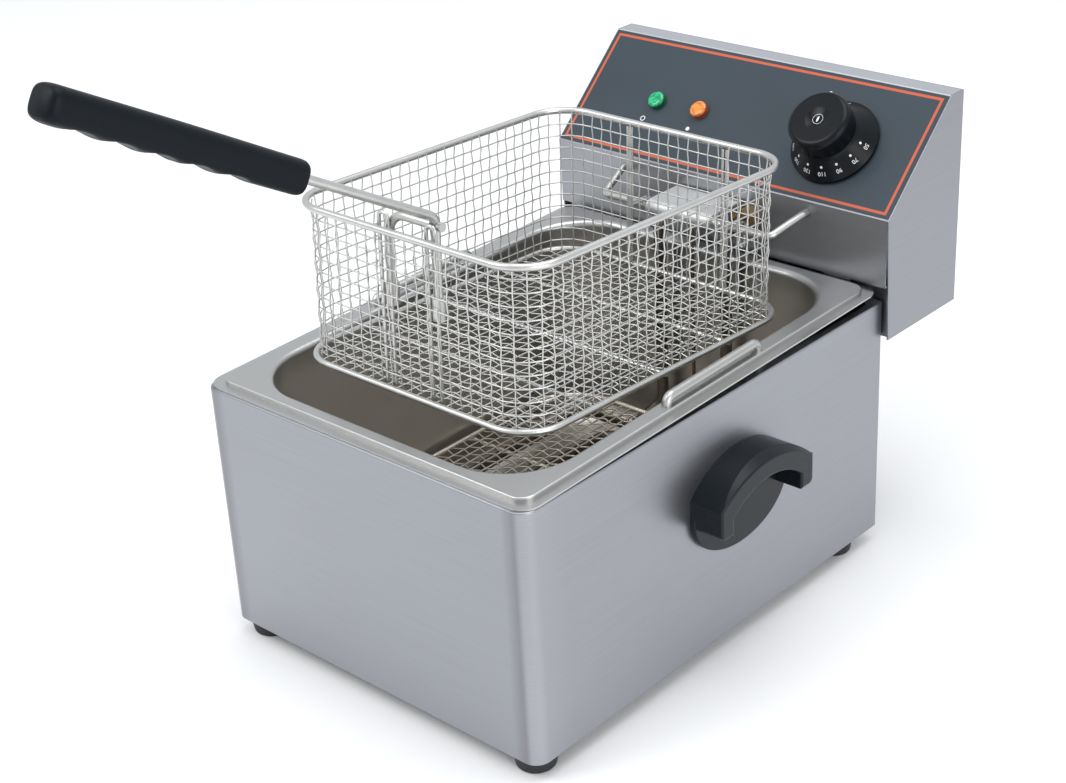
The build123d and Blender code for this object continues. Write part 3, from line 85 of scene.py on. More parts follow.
# Grip
GRIP_RISE = radians(27.0)
GRIP_LENGTH = 166.0 * MM
GRIP_HALF_WIDTH = 10.9 * MM
GRIP_HALF_THICKNESS = 9.9 * MM
GRIP_SCALLOPS = 5
GRIP_SCALLOP_PITCH = 24.4 * MM
GRIP_SCALLOP_DEPTH = 2.2 * MM
GRIP_OUTER_MARGIN = 10.6 * MM
GRIP_ROD_ROUNDING = 4.0 * MM
GRIP_OUTER_ROUNDING = 7.0 * MM
GRIP_END_SHARE = 0.70
GRIP_TAPER = 0.03
GRIP_SQUARENESS = 3.2
GRIP_RINGS = 120
GRIP_SEGMENTS = 48

# Fascia print, as distances over the film; across is from the middle, and down from its top edge
BORDER_INSET = 2.6 * MM
BORDER_WIDTH = 1.9 * MM
BORDER_SOFTNESS = 0.25 * MM
KNOB_DOWN = 50.5 * MM
INDEX_ACROSS, INDEX_DOWN = 54.0 * MM, 16.0 * MM
POWER_MARK_ACROSS = -78.0 * MM
HEATING_MARK_ACROSS = -38.5 * MM
LAMP_MARK_DOWN = 64.0 * MM
INDEX_RADIUS = 1.3 * MM
POWER_MARK_RADIUS, POWER_MARK_HOLE = 2.0 * MM, 1.4 * MM
HEATING_MARK_RADIUS = 1.5 * MM
CAP_RING_RADIUS, CAP_RING_HOLE = 4.0 * MM, 3.4 * MM
POINTER_RADIUS, POINTER_STRETCH = 0.7 * MM, 3.0
INK = 0.05 * MM

# Dial print, in the knob's own frame: its figures stand on the cone from the skirt to the cap
SKIRT_RADIUS, SKIRT_HEIGHT = 30.3 * MM, 3.6 * MM
CONE_RADIUS, CONE_HEIGHT = 21.0 * MM, 14.0 * MM
FIGURE_SHARE, DOT_SHARE = 0.40, 0.72
FIGURE_HEIGHT = 4.0 * MM
DOT_RADIUS = 0.85 * MM
DIAL_INK = 0.06 * MM
FIRST_FIGURE_ANGLE = 91.0
FIGURE_SPACING = 25.3
LOWEST_FIGURE, FIGURE_STEP, FIGURE_COUNT = 50, 20, 8
CAP_HOLLOW = 1.35 * MM

# Noise grains, per metre
BRUSHED_GRAIN = (9, 9, 900)
ROLLED_GRAIN = (60, 60, 700)
TURNED_GRAIN = (500, 500, 1500)

# Camera, from the middle of the casing's foot
CAMERA_AZIMUTH = radians(43.51)
CAMERA_ELEVATION = radians(26.61)
CAMERA_ROLL = radians(-3.24)
CAMERA_PLACE = Vector((0.76778, -0.82852, 0.70988))
CAMERA_LENS = 67.12
SENSOR_WIDTH = 36.0


# ---------------------------------------------------------------------------------------------
# Places read from the frame


def middle(node):
    """The middle of a node's box."""
    low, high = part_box(node)
    return (low + high) / 2


def upright(origin, up):
    """A frame with its X along +X, its Z along up, and its origin at a point."""
    up = Vector(up).normalized()
    across = Vector((1, 0, 0))
    back = up.cross(across).normalized()
    return Matrix.Translation(origin) @ Matrix((across, back, up)).transposed().to_4x4()


CASING_LOW, CASING_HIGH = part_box("casing_shell")
HEAD_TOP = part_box("head_front")[1].z
CASING_MIDDLE = Vector((0, (CASING_LOW.y + CASING_HIGH.y) / 2, 0))
BASKET = upright(middle("basket_rim"), JOINTS["handle_lift"]["axis"])
PAN_UP = Vector(JOINTS["pan_handle_r_lift"]["axis"])
KNOB = upright(Vector(JOINTS["knob_turn"]["pos_m"]), JOINTS["knob_turn"]["axis"])
FASCIA_UP = KNOB.to_3x3() @ Vector((0, 1, 0))
FASCIA_OUT = KNOB.to_3x3() @ Vector((0, 0, 1))


def height_over_fascia(node):
    """How far a node's top stands out along the fascia's normal, from the knob's own origin."""
    vertices = frame["nodes"][node].data.vertices
    return max((Vector(v.co) - KNOB.translation).dot(FASCIA_OUT) for v in vertices)


# ---------------------------------------------------------------------------------------------
# Materials: a small way of writing shader maths as expressions


class Value:
    """A number that varies over a surface. Arithmetic on it adds Math nodes."""

    def __init__(self, finish, socket):
        self.finish = finish
        self.socket = socket

    def math(self, operation, *others, clamp=False):
        sockets = {i: v for i, v in enumerate((self, *others))}
        settings = {"operation": operation, "use_clamp": clamp}
        return self.finish.node("ShaderNodeMath", settings, sockets)[0]

    def __add__(self, other):
        return self.math("ADD", other)

    __radd__ = __add__

    def __mul__(self, other):
        return self.math("MULTIPLY", other)

    __rmul__ = __mul__

    def __sub__(self, other):
        return self.math("SUBTRACT", other)

    def __rsub__(self, other):
        return self.finish.value(other).math("SUBTRACT", self)

    def __truediv__(self, other):
        return self.math("DIVIDE", other)

    def __abs__(self):
        return self.math("ABSOLUTE")

    def clamped(self):
        return self.math("ADD", 0.0, clamp=True)

    def smaller(self, other):
        return self.math("MINIMUM", other)

    def step(self, edge, soft):
        """0 below an edge and 1 above it, over a soft band."""
        return ((self - edge) / soft + 0.5).clamped()


class Outputs:
    """A node's output sockets by number, as values."""

    def __init__(self, finish, node):
        self.finish = finish
        self.sockets = node.outputs

    def __getitem__(self, key):
        return Value(self.finish, self.sockets[key])


class Finish:
    """A material with one Principled shader."""

    def __init__(self, name, colour, roughness, **constants):
        self.material = bpy.data.materials.new(name)
        self.material.use_nodes = True
        self.tree = self.material.node_tree
        self.shader = self.tree.nodes["Principled BSDF"]
        self.shader.inputs["Base Color"].default_value = (*colour, 1)
        self.shader.inputs["Roughness"].default_value = roughness
        for key, value in constants.items():
            self.shader.inputs[key.replace("_", " ")].default_value = value
        place = self.tree.nodes.new("ShaderNodeTexCoord").outputs["Object"]
        self.place = Value(self, place)

    def node(self, kind, settings=None, sockets=None):
        """Any node, from its type, its settings, and the values or links of its sockets."""
        node = self.tree.nodes.new(kind)
        for key, value in (settings or {}).items():
            if key == "stops":
                ramp = node.color_ramp
                while len(ramp.elements) < len(value):
                    ramp.elements.new(0.5)
                for element, (position, colour) in zip(ramp.elements, value):
                    element.position = position
                    element.color = (*colour, 1)
            else:
                setattr(node, key, value)
        for key, value in (sockets or {}).items():
            if isinstance(value, Value):
                self.tree.links.new(value.socket, node.inputs[key])
            else:
                node.inputs[key].default_value = value
        return Outputs(self, node)

    def value(self, number):
        """A plain number as a value."""
        return self.node("ShaderNodeMath", {"operation": "ADD"}, {0: number, 1: 0.0})[0]

    def feed(self, key, value):
        """Links a varying value to one of the shader's sockets."""
        self.tree.links.new(value.socket, self.shader.inputs[key])

    def axes(self):
        """The surface point's x, y and z."""
        parts = self.node("ShaderNodeSeparateXYZ", None, {0: self.place})
        return parts[0], parts[1], parts[2]

    def vector_math(self, operation, first, second):
        """Vector maths between a value and a plain vector."""
        return self.node("ShaderNodeVectorMath", {"operation": operation}, {0: first, 1: tuple(second)})

    def along(self, direction, origin):
        """How far the surface point is from an origin along a direction."""
        shifted = self.vector_math("SUBTRACT", self.place, origin)[0]
        return self.vector_math("DOT_PRODUCT", shifted, direction)[1]

    def noise(self, grain, detail, rough):
        """Fractal noise over the surface. Its grain per metre is even, or given along each axis."""
        grains = grain if isinstance(grain, tuple) else (grain, grain, grain)
        stretched = self.vector_math("MULTIPLY", self.place, grains)[0]
        sockets = {"Vector": stretched, "Scale": 1.0, "Detail": detail, "Roughness": rough}
        return self.node("ShaderNodeTexNoise", None, sockets)[0]

    def mix(self, factor, first, second):
        """A colour between two, by a factor."""
        sockets = {0: factor, 6: shade(first), 7: shade(second)}
        return self.node("ShaderNodeMix", {"data_type": "RGBA"}, sockets)[2]

    def bump(self, height, strength, distance):
        """Small relief from a height value."""
        sockets = {"Height": height, "Strength": strength, "Distance": distance}
        self.feed("Normal", self.node("ShaderNodeBump", None, sockets)[0])


def shade(colour):
    """A colour ready for a colour socket."""
    return colour if isinstance(colour, Value) else (*colour, 1)


def tinted(colour, factor):
    """A colour made lighter or darker."""
    return tuple(min(1.0, c * factor) for c in colour)


def brushed(name, colour, roughness):
    """A sheet with a fine level brushed grain: its finish, its ground colour and its faint clouding."""
    steel = Finish(name, colour, roughness, Metallic=1.0)
    lines = steel.noise(BRUSHED_GRAIN, 4.0, 0.65)
    cloud = steel.noise(9, 3.0, 0.5)
    steel.feed("Roughness", lines * 0.16 + cloud * 0.10 + (roughness - 0.13))
    steel.bump(lines, 0.16, 0.05 * MM)
    ground = steel.mix(lines * 0.7 + cloud * 0.3, tinted(colour, 0.83), tinted(colour, 1.17))
    return steel, ground, cloud


def brushed_steel(name, colour, roughness, painted_highlight_above=None):
    """Brushed stainless sheet, with a painted highlight above a height if one is given."""
    steel, ground, _ = brushed(name, colour, roughness)
    if painted_highlight_above is not None:
        _, _, z = steel.axes()
        # Painted highlight: the sheet made paler along its top edge, above the given height.
        ground = steel.mix(z.step(painted_highlight_above, 0.6 * MM), ground, tinted(colour, 1.65))
    steel.feed("Base Color", ground)
    return steel.material


def wrap_steel():
    """The casing's brushed sheet, with a painted shade band and a painted highlight at the two front corners,
    where the sheet bends round.
    """
    steel, ground, cloud = brushed("wrap_steel", (0.330, 0.338, 0.362), 0.40)
    x, y, z = steel.axes()
    from_side = CASING_HIGH.x - abs(x)
    near_front = 1 - (y - CASING_LOW.y).step(22 * MM, 20 * MM)
    past_bend = from_side.step(7.0 * MM, 3.0 * MM)
    past_painted_shade = from_side.step(13.0 * MM, 9.0 * MM)
    # Painted shade: a dark band just inside the bend at each front corner.
    painted_shade_band = past_bend * (1 - past_painted_shade) * near_front
    # Painted highlight: a lighter band on the bend itself at each front corner.
    painted_highlight_band = (1 - from_side.step(5.5 * MM, 3.0 * MM)) * near_front
    with_painted_shade = steel.mix(painted_shade_band * (cloud * 0.4 + 0.35), ground, (0.17, 0.165, 0.17))
    lit = steel.mix(painted_highlight_band * 0.12, with_painted_shade, (0.50, 0.50, 0.51))
    low_part = 1 - (z - CASING_LOW.z).step(70 * MM, 120 * MM)
    steel.feed("Base Color", steel.mix(low_part * 0.10, lit, (0.55, 0.56, 0.60)))
    return steel.material


def satin_steel(name, colour, roughness):
    """Drawn or bent steel with no grain direction, only a fine satin speck and soft clouding."""
    steel = Finish(name, colour, roughness, Metallic=1.0)
    fine = steel.noise(900, 2.0, 0.5)
    cloud = steel.noise(22, 3.0, 0.5)
    steel.feed("Base Color", steel.mix(cloud, tinted(colour, 0.9), tinted(colour, 1.08)))
    steel.feed("Roughness", fine * 0.10 + cloud * 0.12 + (roughness - 0.11))
    steel.bump(fine, 0.06, 0.03 * MM)
    return steel.material


def pan_steel():
    """The pan's drawn steel: bright on the flange, and duller and browner down inside from hot oil."""
    flange, wall, floor = (0.50, 0.505, 0.50), (0.66, 0.64, 0.61), (0.58, 0.56, 0.52)
    steel = Finish("pan_steel", flange, 0.34, Metallic=1.0)
    _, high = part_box("oil_pan")
    rear_lip = Vector((0, high.y, high.z))
    depth = steel.along(-PAN_UP, rear_lip)
    cloud = steel.noise(18, 4.0, 0.6)
    fine = steel.noise(ROLLED_GRAIN, 3.0, 0.6)
    inside = (depth + cloud * (6 * MM)).step(14 * MM, 12 * MM)
    deep = (depth + cloud * (40 * MM)).step(130 * MM, 70 * MM)
    body = steel.mix(deep, wall, floor)
    worn = steel.mix(inside, flange, body)
    steel.feed("Base Color", steel.mix(cloud * 0.25, worn, (0.5, 0.48, 0.45)))
    steel.feed("Roughness", fine * 0.10 + cloud * 0.10 + inside * 0.04 + 0.24)
    steel.bump(fine, 0.05, 0.04 * MM)
    return steel.material


def wire_steel(name, colour=(0.60, 0.60, 0.58), roughness=0.34):
    """Bright drawn wire with faint drawing marks and a little dulling."""
    steel = Finish(name, colour, roughness, Metallic=1.0)
    cloud = steel.noise(70, 3.0, 0.6)
    fine = steel.noise(900, 2.0, 0.5)
    steel.feed("Base Color", steel.mix(cloud, tinted(colour, 0.90), tinted(colour, 1.08)))
    steel.feed("Roughness", cloud * 0.14 + fine * 0.08 + (roughness - 0.10))
    steel.bump(fine, 0.05, 0.03 * MM)
    return steel.material


def element_steel():
    """Tube that heat has coloured straw to brown along its length."""
    steel = Finish("element_steel", (0.30, 0.27, 0.23), 0.35, Metallic=1.0)
    cloud = steel.noise(28, 4.0, 0.6)
    fine = steel.noise(600, 2.0, 0.5)
    stops = [(0.25, (0.05, 0.045, 0.04)), (0.5, (0.13, 0.11, 0.09)), (0.75, (0.28, 0.25, 0.21))]
    steel.feed("Base Color", steel.node("ShaderNodeValToRGB", {"stops": stops}, {0: cloud})[0])
    steel.feed("Roughness", fine * 0.15 + cloud * 0.15 + 0.2)
    steel.bump(fine, 0.08, 0.04 * MM)
    return steel.material


def moulded_plastic(name, colour, roughness, specular=0.12):
    """Moulded plastic with a fine spark-eroded grain and slight shine differences."""
    plastic = Finish(name, colour, roughness, Specular_IOR_Level=specular)
    fine = plastic.noise(1500, 2.0, 0.5)
    cloud = plastic.noise(35, 3.0, 0.5)
    plastic.feed("Base Color", plastic.mix(cloud, tinted(colour, 0.85), tinted(colour, 1.2)))
    plastic.feed("Roughness", fine * 0.10 + cloud * 0.14 + (roughness - 0.12))
    plastic.bump(fine, 0.10, 0.05 * MM)
    return plastic.material


def foot_rubber():
    """Matt black rubber with dust in its fine pores."""
    rubber = Finish("foot_rubber", (0.012, 0.012, 0.013), 0.7)
    pores = rubber.noise(700, 3.0, 0.6)
    dust = rubber.noise(60, 3.0, 0.5)
    rubber.feed("Base Color", rubber.mix(dust * 0.5, (0.010, 0.010, 0.011), (0.035, 0.035, 0.036)))
    rubber.feed("Roughness", pores * 0.2 + 0.55)
    rubber.bump(pores, 0.2, 0.10 * MM)
    return rubber.material


def film_print():
    """The slate film with its orange border line, printed at even distances from the film's edges."""
    low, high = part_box("fascia_film")
    slate = (0.036, 0.050, 0.062)
    film = Finish("film_print", slate, 0.38, Specular_IOR_Level=0.25)
    x, _, _ = film.axes()
    top = Vector((0, high.y, high.z))
    down = film.along(-FASCIA_UP, top)
    slope = (high.z - low.z) / FASCIA_UP.z
    edge_x = (high.x - low.x) / 2 - abs(x)
    edge_y = down.smaller(slope - down)
    edge = edge_x.smaller(edge_y)
    past_line = edge.step(BORDER_INSET + BORDER_WIDTH, BORDER_SOFTNESS)
    line = edge.step(BORDER_INSET, BORDER_SOFTNESS) * (1 - past_line)
    fine = film.noise(1300, 2.0, 0.5)
    cloud = film.noise(14, 2.0, 0.5)
    ground = film.mix(cloud, tinted(slate, 0.88), tinted(slate, 1.12))
    film.feed("Base Color", film.mix(line, ground, (0.52, 0.105, 0.05)))
    film.feed("Roughness", fine * 0.12 + cloud * 0.06 + 0.30)
    film.bump(fine, 0.06, 0.03 * MM)
    return film.material


def brass():
    """Machined brass, a little tarnished."""
    metal = Finish("brass", (0.62, 0.42, 0.17), 0.3, Metallic=1.0)
    cloud = metal.noise(90, 4.0, 0.6)
    metal.feed("Base Color", metal.mix(cloud, (0.38, 0.24, 0.10), (0.72, 0.52, 0.24)))
    metal.feed("Roughness", cloud * 0.25 + 0.18)
    metal.bump(metal.noise(TURNED_GRAIN, 2.0, 0.5), 0.08, 0.04 * MM)
    return metal.material


def copper():
    """Drawn copper tube with brown patches."""
    metal = Finish("copper", (0.55, 0.27, 0.16), 0.35, Metallic=1.0)
    cloud = metal.noise(60, 4.0, 0.6)
    metal.feed("Base Color", metal.mix(cloud, (0.14, 0.085, 0.06), (0.30, 0.20, 0.14)))
    metal.feed("Roughness", cloud * 0.25 + 0.22)
    return metal.material


def lamp_lens(name, dark, light):
    """A clear coloured lens, with a painted highlight across its flat top and painted shade round its rim."""
    lens = Finish(name, light, 0.12, Coat_Weight=0.4, Coat_Roughness=0.05, Emission_Strength=0.10)
    top = height_over_fascia("power_lamp")
    height = lens.along(FASCIA_OUT, KNOB.translation)
    cloud = lens.noise(260, 2.0, 0.5)
    facet_shading = lens.noise(420, 1.0, 0.4).step(0.47, 0.16)
    # Painted highlight over the lens's top, broken into patches of painted facet shade; below it, painted shade
    # round the rim.
    bright = (height + cloud * (0.4 * MM)).step(top - 0.7 * MM, 1.2 * MM)
    glow = lens.mix(bright * (facet_shading * 0.6 + 0.45).clamped(), dark, light)
    lens.feed("Base Color", glow)
    lens.feed("Emission Color", glow)
    lens.feed("Roughness", cloud * 0.1 + 0.1)
    return lens.material


def figure_white():
    """The printed figures' white ink."""
    ink = Finish("figure_white", (0.75, 0.76, 0.76), 0.5)
    worn = ink.noise(900, 2.0, 0.5)
    ink.feed("Base Color", ink.mix(worn, (0.60, 0.61, 0.62), (0.86, 0.87, 0.87)))
    ink.feed("Roughness", worn * 0.2 + 0.4)
    return ink.material


SHEET = (0.318, 0.325, 0.345)
FINISHES = {
    "casing_steel": brushed_steel("casing_steel", SHEET, 0.40),
    # The head's sheet carries a painted highlight along its top edge.
    "head_steel": brushed_steel("head_steel", SHEET, 0.40, HEAD_TOP - 0.5 * MM),
    "wrap_steel": wrap_steel(),
    "inner_steel": satin_steel("inner_steel", (0.40, 0.40, 0.40), 0.45),
    "pan_steel": pan_steel(),
    "bar_steel": satin_steel("bar_steel", (0.52, 0.52, 0.50), 0.36),
    "plate_steel": satin_steel("plate_steel", (0.72, 0.73, 0.73), 0.5),
    "wire_steel": wire_steel("wire_steel"),
    "cloth_steel": wire_steel("cloth_steel", (0.62, 0.62, 0.60), 0.38),
    "guard_steel": wire_steel("guard_steel", (0.68, 0.63, 0.55), 0.34),
    "element_steel": element_steel(),
    "screw_steel": satin_steel("screw_steel", (0.55, 0.55, 0.55), 0.25),
    "handle_plastic": moulded_plastic("handle_plastic", (0.005, 0.008, 0.011), 0.30, 0.28),
    "grip_plastic": moulded_plastic("grip_plastic", (0.003, 0.0055, 0.008), 0.44, 0.14),
    "knob_plastic": moulded_plastic("knob_plastic", (0.002, 0.0035, 0.005), 0.30, 0.2),
    "foot_rubber": foot_rubber(),
    "film_print": film_print(),
    "brass": brass(),
    "copper": copper(),
    "green_lens": lamp_lens("green_lens", (0.0, 0.07, 0.03), (0.004, 0.42, 0.17)),
    "amber_lens": lamp_lens("amber_lens", (0.22, 0.04, 0.008), (0.80, 0.25, 0.035)),
    "black_plastic": moulded_plastic("black_plastic", (0.015, 0.015, 0.016), 0.5),
    "white_plastic": moulded_plastic("white_plastic", (0.70, 0.69, 0.66), 0.45),
    "red_plastic": moulded_plastic("red_plastic", (0.45, 0.02, 0.015), 0.3, 0.5),
}
FIGURE_WHITE = figure_white()

NODE_FINISHES = {
    "casing_shell": "wrap_steel",
    "head_front": "head_steel",
    "pan_handle_right": "bar_steel",
    "pan_handle_left": "bar_steel",
    "hanger_rod": "bar_steel",
    "hanger_plate": "plate_steel",
    "guard_frame": "guard_steel",
    "guard_bars": "guard_steel",
}


def paint_nodes():
    """Gives every CAD node its finish: its own where one is named, and otherwise its slot's."""
    slots = {part["node"]: part["material_slot"] for part in frame["record"]["subparts"]}
    for name, node in frame["nodes"].items():
        material = FINISHES[NODE_FINISHES.get(name, slots[name])]
        node.data.materials.clear()
        node.data.materials.append(material)


# ---------------------------------------------------------------------------------------------
# Making pieces


def piece(name, mesh, body, material, replaced=()):
    """A finished mesh as an object that rides on a body."""
    obj = bpy.data.objects.new(name, mesh)
    bpy.context.scene.collection.objects.link(obj)
    mesh.materials.clear()
    mesh.materials.append(material)
    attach(obj, body)
    if replaced:
        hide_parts(*replaced)
    return obj


def mesh_from(bm, name, smooth=True):
    """The mesh of a bmesh, its faces turned outwards."""
    bmesh.ops.remove_doubles(bm, verts=bm.verts, dist=1e-6)
    bmesh.ops.recalc_face_normals(bm, faces=bm.faces)
    mesh = bpy.data.meshes.new(name)
    bm.to_mesh(mesh)
    bm.free()
    for polygon in mesh.polygons:
        polygon.use_smooth = smooth
    return mesh


def wires_mesh(name, lines, diameter, frame_matrix, closed=False):
    """Round wires along lists of points, as one mesh."""
    curve = bpy.data.curves.new(name, "CURVE")
    curve.dimensions = "3D"
    curve.bevel_depth = diameter / 2
    curve.bevel_resolution = 1
    curve.use_fill_caps = True
    for line in lines:
        spline = curve.splines.new("POLY")
        spline.points.add(len(line) - 1)
        for point, place in zip(spline.points, line):
            point.co = (*place, 1)
        spline.use_cyclic_u = closed
    maker = bpy.data.objects.new(name, curve)
    mesh = bpy.data.meshes.new_from_object(maker)
    bpy.data.objects.remove(maker)
    bpy.data.curves.remove(curve)
    mesh.transform(frame_matrix)
    for polygon in mesh.polygons:
        polygon.use_smooth = True
    return mesh


class RoundedLoop:
    """A rectangle with rounded corners, walked by distance from the middle of its front side."""

    def __init__(self, half_x, half_y, corner):
        self.half_x = half_x
        self.half_y = half_y
        self.corner = corner
        self.straight_x = 2 * (half_x - corner)
        self.straight_y = 2 * (half_y - corner)
        self.arc = pi * corner / 2
        self.length = 2 * (self.straight_x + self.straight_y) + 4 * self.arc

    def at(self, distance):
        """The point and the outward direction at a distance."""
        rest = (distance + self.straight_x / 2) % self.length
        corner_x, corner_y = self.half_x - self.corner, self.half_y - self.corner
        sides = [(self.straight_x, (-corner_x, -corner_y)), (self.straight_y, (corner_x, -corner_y))]
        sides += [(self.straight_x, (corner_x, corner_y)), (self.straight_y, (-corner_x, corner_y))]
        for index, (straight, start) in enumerate(sides):
            turn = index * pi / 2
            run = Vector((cos(turn), sin(turn)))
            out = Vector((sin(turn), -cos(turn)))
            if rest <= straight:
                return Vector(start) + out * self.corner + run * rest, out
            rest -= straight
            if rest <= self.arc:
                angle = rest / self.corner
                centre = Vector(start) + run * straight
                out = Vector((sin(turn + angle), -cos(turn + angle)))
                return centre + out * self.corner, out
            rest -= self.arc
        return self.at(0)


def crimp(crossing, amount):
    """How far a crimped wire stands off its middle at a crossing: to one side, then the other."""
    return amount if crossing % 2 == 0 else -amount


def basket_loop(grow):
    """The basket's outline in its own frame, grown from the middle of its wire walls."""
    low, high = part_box("basket_rim")
    half_x = (high.x - low.x - RIM_ROD) / 2
    half_y = (high.y - low.y - RIM_ROD) / 2 / (BASKET.to_3x3() @ Vector((0, 1, 0))).y
    inset = CLOTH_INSET - grow
    return RoundedLoop(half_x - inset, half_y - inset, BASKET_CORNER - inset)


def basket_depth():
    """From the rim down to the bottom ring."""
    up = BASKET.to_3x3() @ Vector((0, 0, 1))
    return (middle("basket_rim") - middle("basket_bottom_ring")).dot(up)


def basket_walls():
    """The wire cloth of the basket's four walls: sharply crimped posts and almost straight hoops."""
    loop = basket_loop(0)
    depth = basket_depth()
    posts = 2 * round(loop.length / CLOTH_PITCH / 2)
    rows = round(depth / CLOTH_PITCH) - 1
    row_pitch = depth / (rows + 1)
    places = [loop.at(post * loop.length / posts) for post in range(posts)]
    uprights = []
    for post, (spot, out) in enumerate(places):
        line = []
        for row in range(rows + 2):
            line.append((*(spot + out * crimp(row + post, CLOTH_CRIMP)), -row * row_pitch))
        uprights.append(line)
    hoops = []
    for row in range(1, rows + 1):
        line = []
        for post, (spot, out) in enumerate(places):
            line.append((*(spot - out * crimp(row + post, HOOP_CRIMP)), -row * row_pitch))
        hoops.append(line)
    posts_mesh = wires_mesh("basket_wall_posts", uprights, CLOTH_WIRE, BASKET)
    return posts_mesh, wires_mesh("basket_wall_hoops", hoops, CLOTH_WIRE, BASKET, closed=True)


def flat_cloth(name, half_x, half_y, corner, pitch, wire, frame_matrix):
    """Flat wire cloth with rounded corners: straight wires along Y, and crimped ones along X."""
    lines = []
    for half_run, half_across, crimped in ((half_y, half_x, False), (half_x, half_y, True)):
        count = round(2 * half_across / pitch)
        spacing = 2 * half_across / count
        for index in range(1, count):
            across = index * spacing - half_across
            past_corner = max(0.0, abs(across) - (half_across - corner))
            reach = half_run - corner + sqrt(max(0.0, corner**2 - past_corner**2))
            if not crimped:
                lines.append([(across, -reach, 0), (across, 0, 0), (across, reach, 0)])
                continue
            steps = max(2, round(2 * reach / pitch))
            start = round((half_run - reach) / pitch)
            line = []
            for step in range(steps + 1):
                run = -reach + 2 * reach * step / steps
                side_step = crimp(step + start + index, wire * FLAT_CRIMP)
                line.append((run, across + side_step, side_step))
            lines.append(line)
    return wires_mesh(name, lines, wire, frame_matrix)


def basket_floor():
    """The wire cloth of the basket's floor, inside the bottom ring."""
    loop = basket_loop(RING_ROD / 4)
    place = BASKET @ Matrix.Translation((0, 0, -basket_depth()))
    name = "basket_floor_cloth"
    return flat_cloth(name, loop.half_x, loop.half_y, loop.corner, CLOTH_PITCH, CLOTH_WIRE, place)


def basket_cloth():
    """The whole basket's wire cloth, in place of the plain sheet."""
    posts, hoops = basket_walls()
    material = FINISHES["cloth_steel"]
    piece("basket_wall_posts", posts, "basket", material, ("basket_mesh",))
    piece("basket_wall_hoops", hoops, "basket", material)
    piece("basket_floor_cloth", basket_floor(), "basket", material)


def guard_cloth():
    """The guard's wire cloth over the element."""
    low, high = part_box("guard_mesh")
    half = (high - low) / 2
    place = Matrix.Translation(middle("guard_mesh"))
    mesh = flat_cloth("guard_cloth", half.x, half.y, GUARD_CORNER, GUARD_PITCH, GUARD_WIRE, place)
    piece("guard_cloth", mesh, "head", FINISHES["guard_steel"], ("guard_mesh",))


def grip_frame():
    """The grip's own frame: its origin at the rod's end of the grip and its Z along the grip."""
    along = BASKET.to_3x3() @ Vector((0, -cos(GRIP_RISE), sin(GRIP_RISE)))
    side = Vector((1, 0, 0))
    origin = middle("handle_grip") - along * GRIP_LENGTH / 2
    turn = Matrix((side, along.cross(side), along)).transposed()
    return Matrix.Translation(origin) @ turn.to_4x4()


def grip():
    """The moulded grip: a rounded bar with crescent finger scallops underneath."""
    bm = bmesh.new()
    bmesh.ops.create_circle(bm, segments=GRIP_SEGMENTS, radius=1.0)
    loops = [list(bm.verts)]
    edges = bm.edges[:]
    bmesh.ops.contextual_create(bm, geom=edges)
    for _ in range(GRIP_RINGS):
        made = bmesh.ops.extrude_edge_only(bm, edges=edges)["geom"]
        edges = [g for g in made if isinstance(g, bmesh.types.BMEdge) and g.is_boundary]
        loops.append([g for g in made if isinstance(g, bmesh.types.BMVert)])
    for index, verts in enumerate(loops):
        shape_grip_ring(index / GRIP_RINGS, verts)
    bmesh.ops.contextual_create(bm, geom=edges)
    mesh = mesh_from(bm, "grip_moulding")
    mesh.transform(grip_frame())
    return mesh


def shape_grip_ring(share, verts):
    """Places one ring of the grip's skin at a share of its length."""
    along = share * GRIP_LENGTH
    end = min(along / GRIP_ROD_ROUNDING, (GRIP_LENGTH - along) / GRIP_OUTER_ROUNDING, 1.0)
    shoulder = GRIP_END_SHARE + (1 - GRIP_END_SHARE) * sqrt(1 - (1 - end) ** 2)
    shoulder *= 1.0 - GRIP_TAPER * (1 + cos(2 * pi * share)) / 2
    from_end = (GRIP_LENGTH - GRIP_OUTER_MARGIN - along) / GRIP_SCALLOP_PITCH
    bite = 0.0
    if 0 < from_end < GRIP_SCALLOPS:
        bite = GRIP_SCALLOP_DEPTH * (1 - (2 * (from_end % 1.0) - 1) ** 2)
    for vert in verts:
        direction = Vector((vert.co.x, vert.co.y)).normalized()
        size = sum(abs(part) ** GRIP_SQUARENESS for part in direction)
        reach = size ** (-1 / GRIP_SQUARENESS) * shoulder
        x = direction.x * reach * GRIP_HALF_WIDTH
        y = direction.y * reach * GRIP_HALF_THICKNESS
        vert.co = (x, max(y, bite - GRIP_HALF_THICKNESS), along)


def grip_skin():
    """The moulded grip as a piece, in place of the plain bar."""
    material = FINISHES["grip_plastic"]
    piece("grip_moulding", grip(), "basket_handle", material, ("handle_grip",))


def text_mesh(words, height, depth):
    """Flat figures of a height, centred, with a little thickness."""
    curve = bpy.data.curves.new("figure", "FONT")
    curve.body = words
    curve.size = height
    curve.align_x = "CENTER"
    curve.align_y = "CENTER"
    curve.extrude = depth
    curve.resolution_u = 3
    maker = bpy.data.objects.new("figure", curve)
    mesh = bpy.data.meshes.new_from_object(maker)
    bpy.data.objects.remove(maker)
    bpy.data.curves.remove(curve)
    return mesh


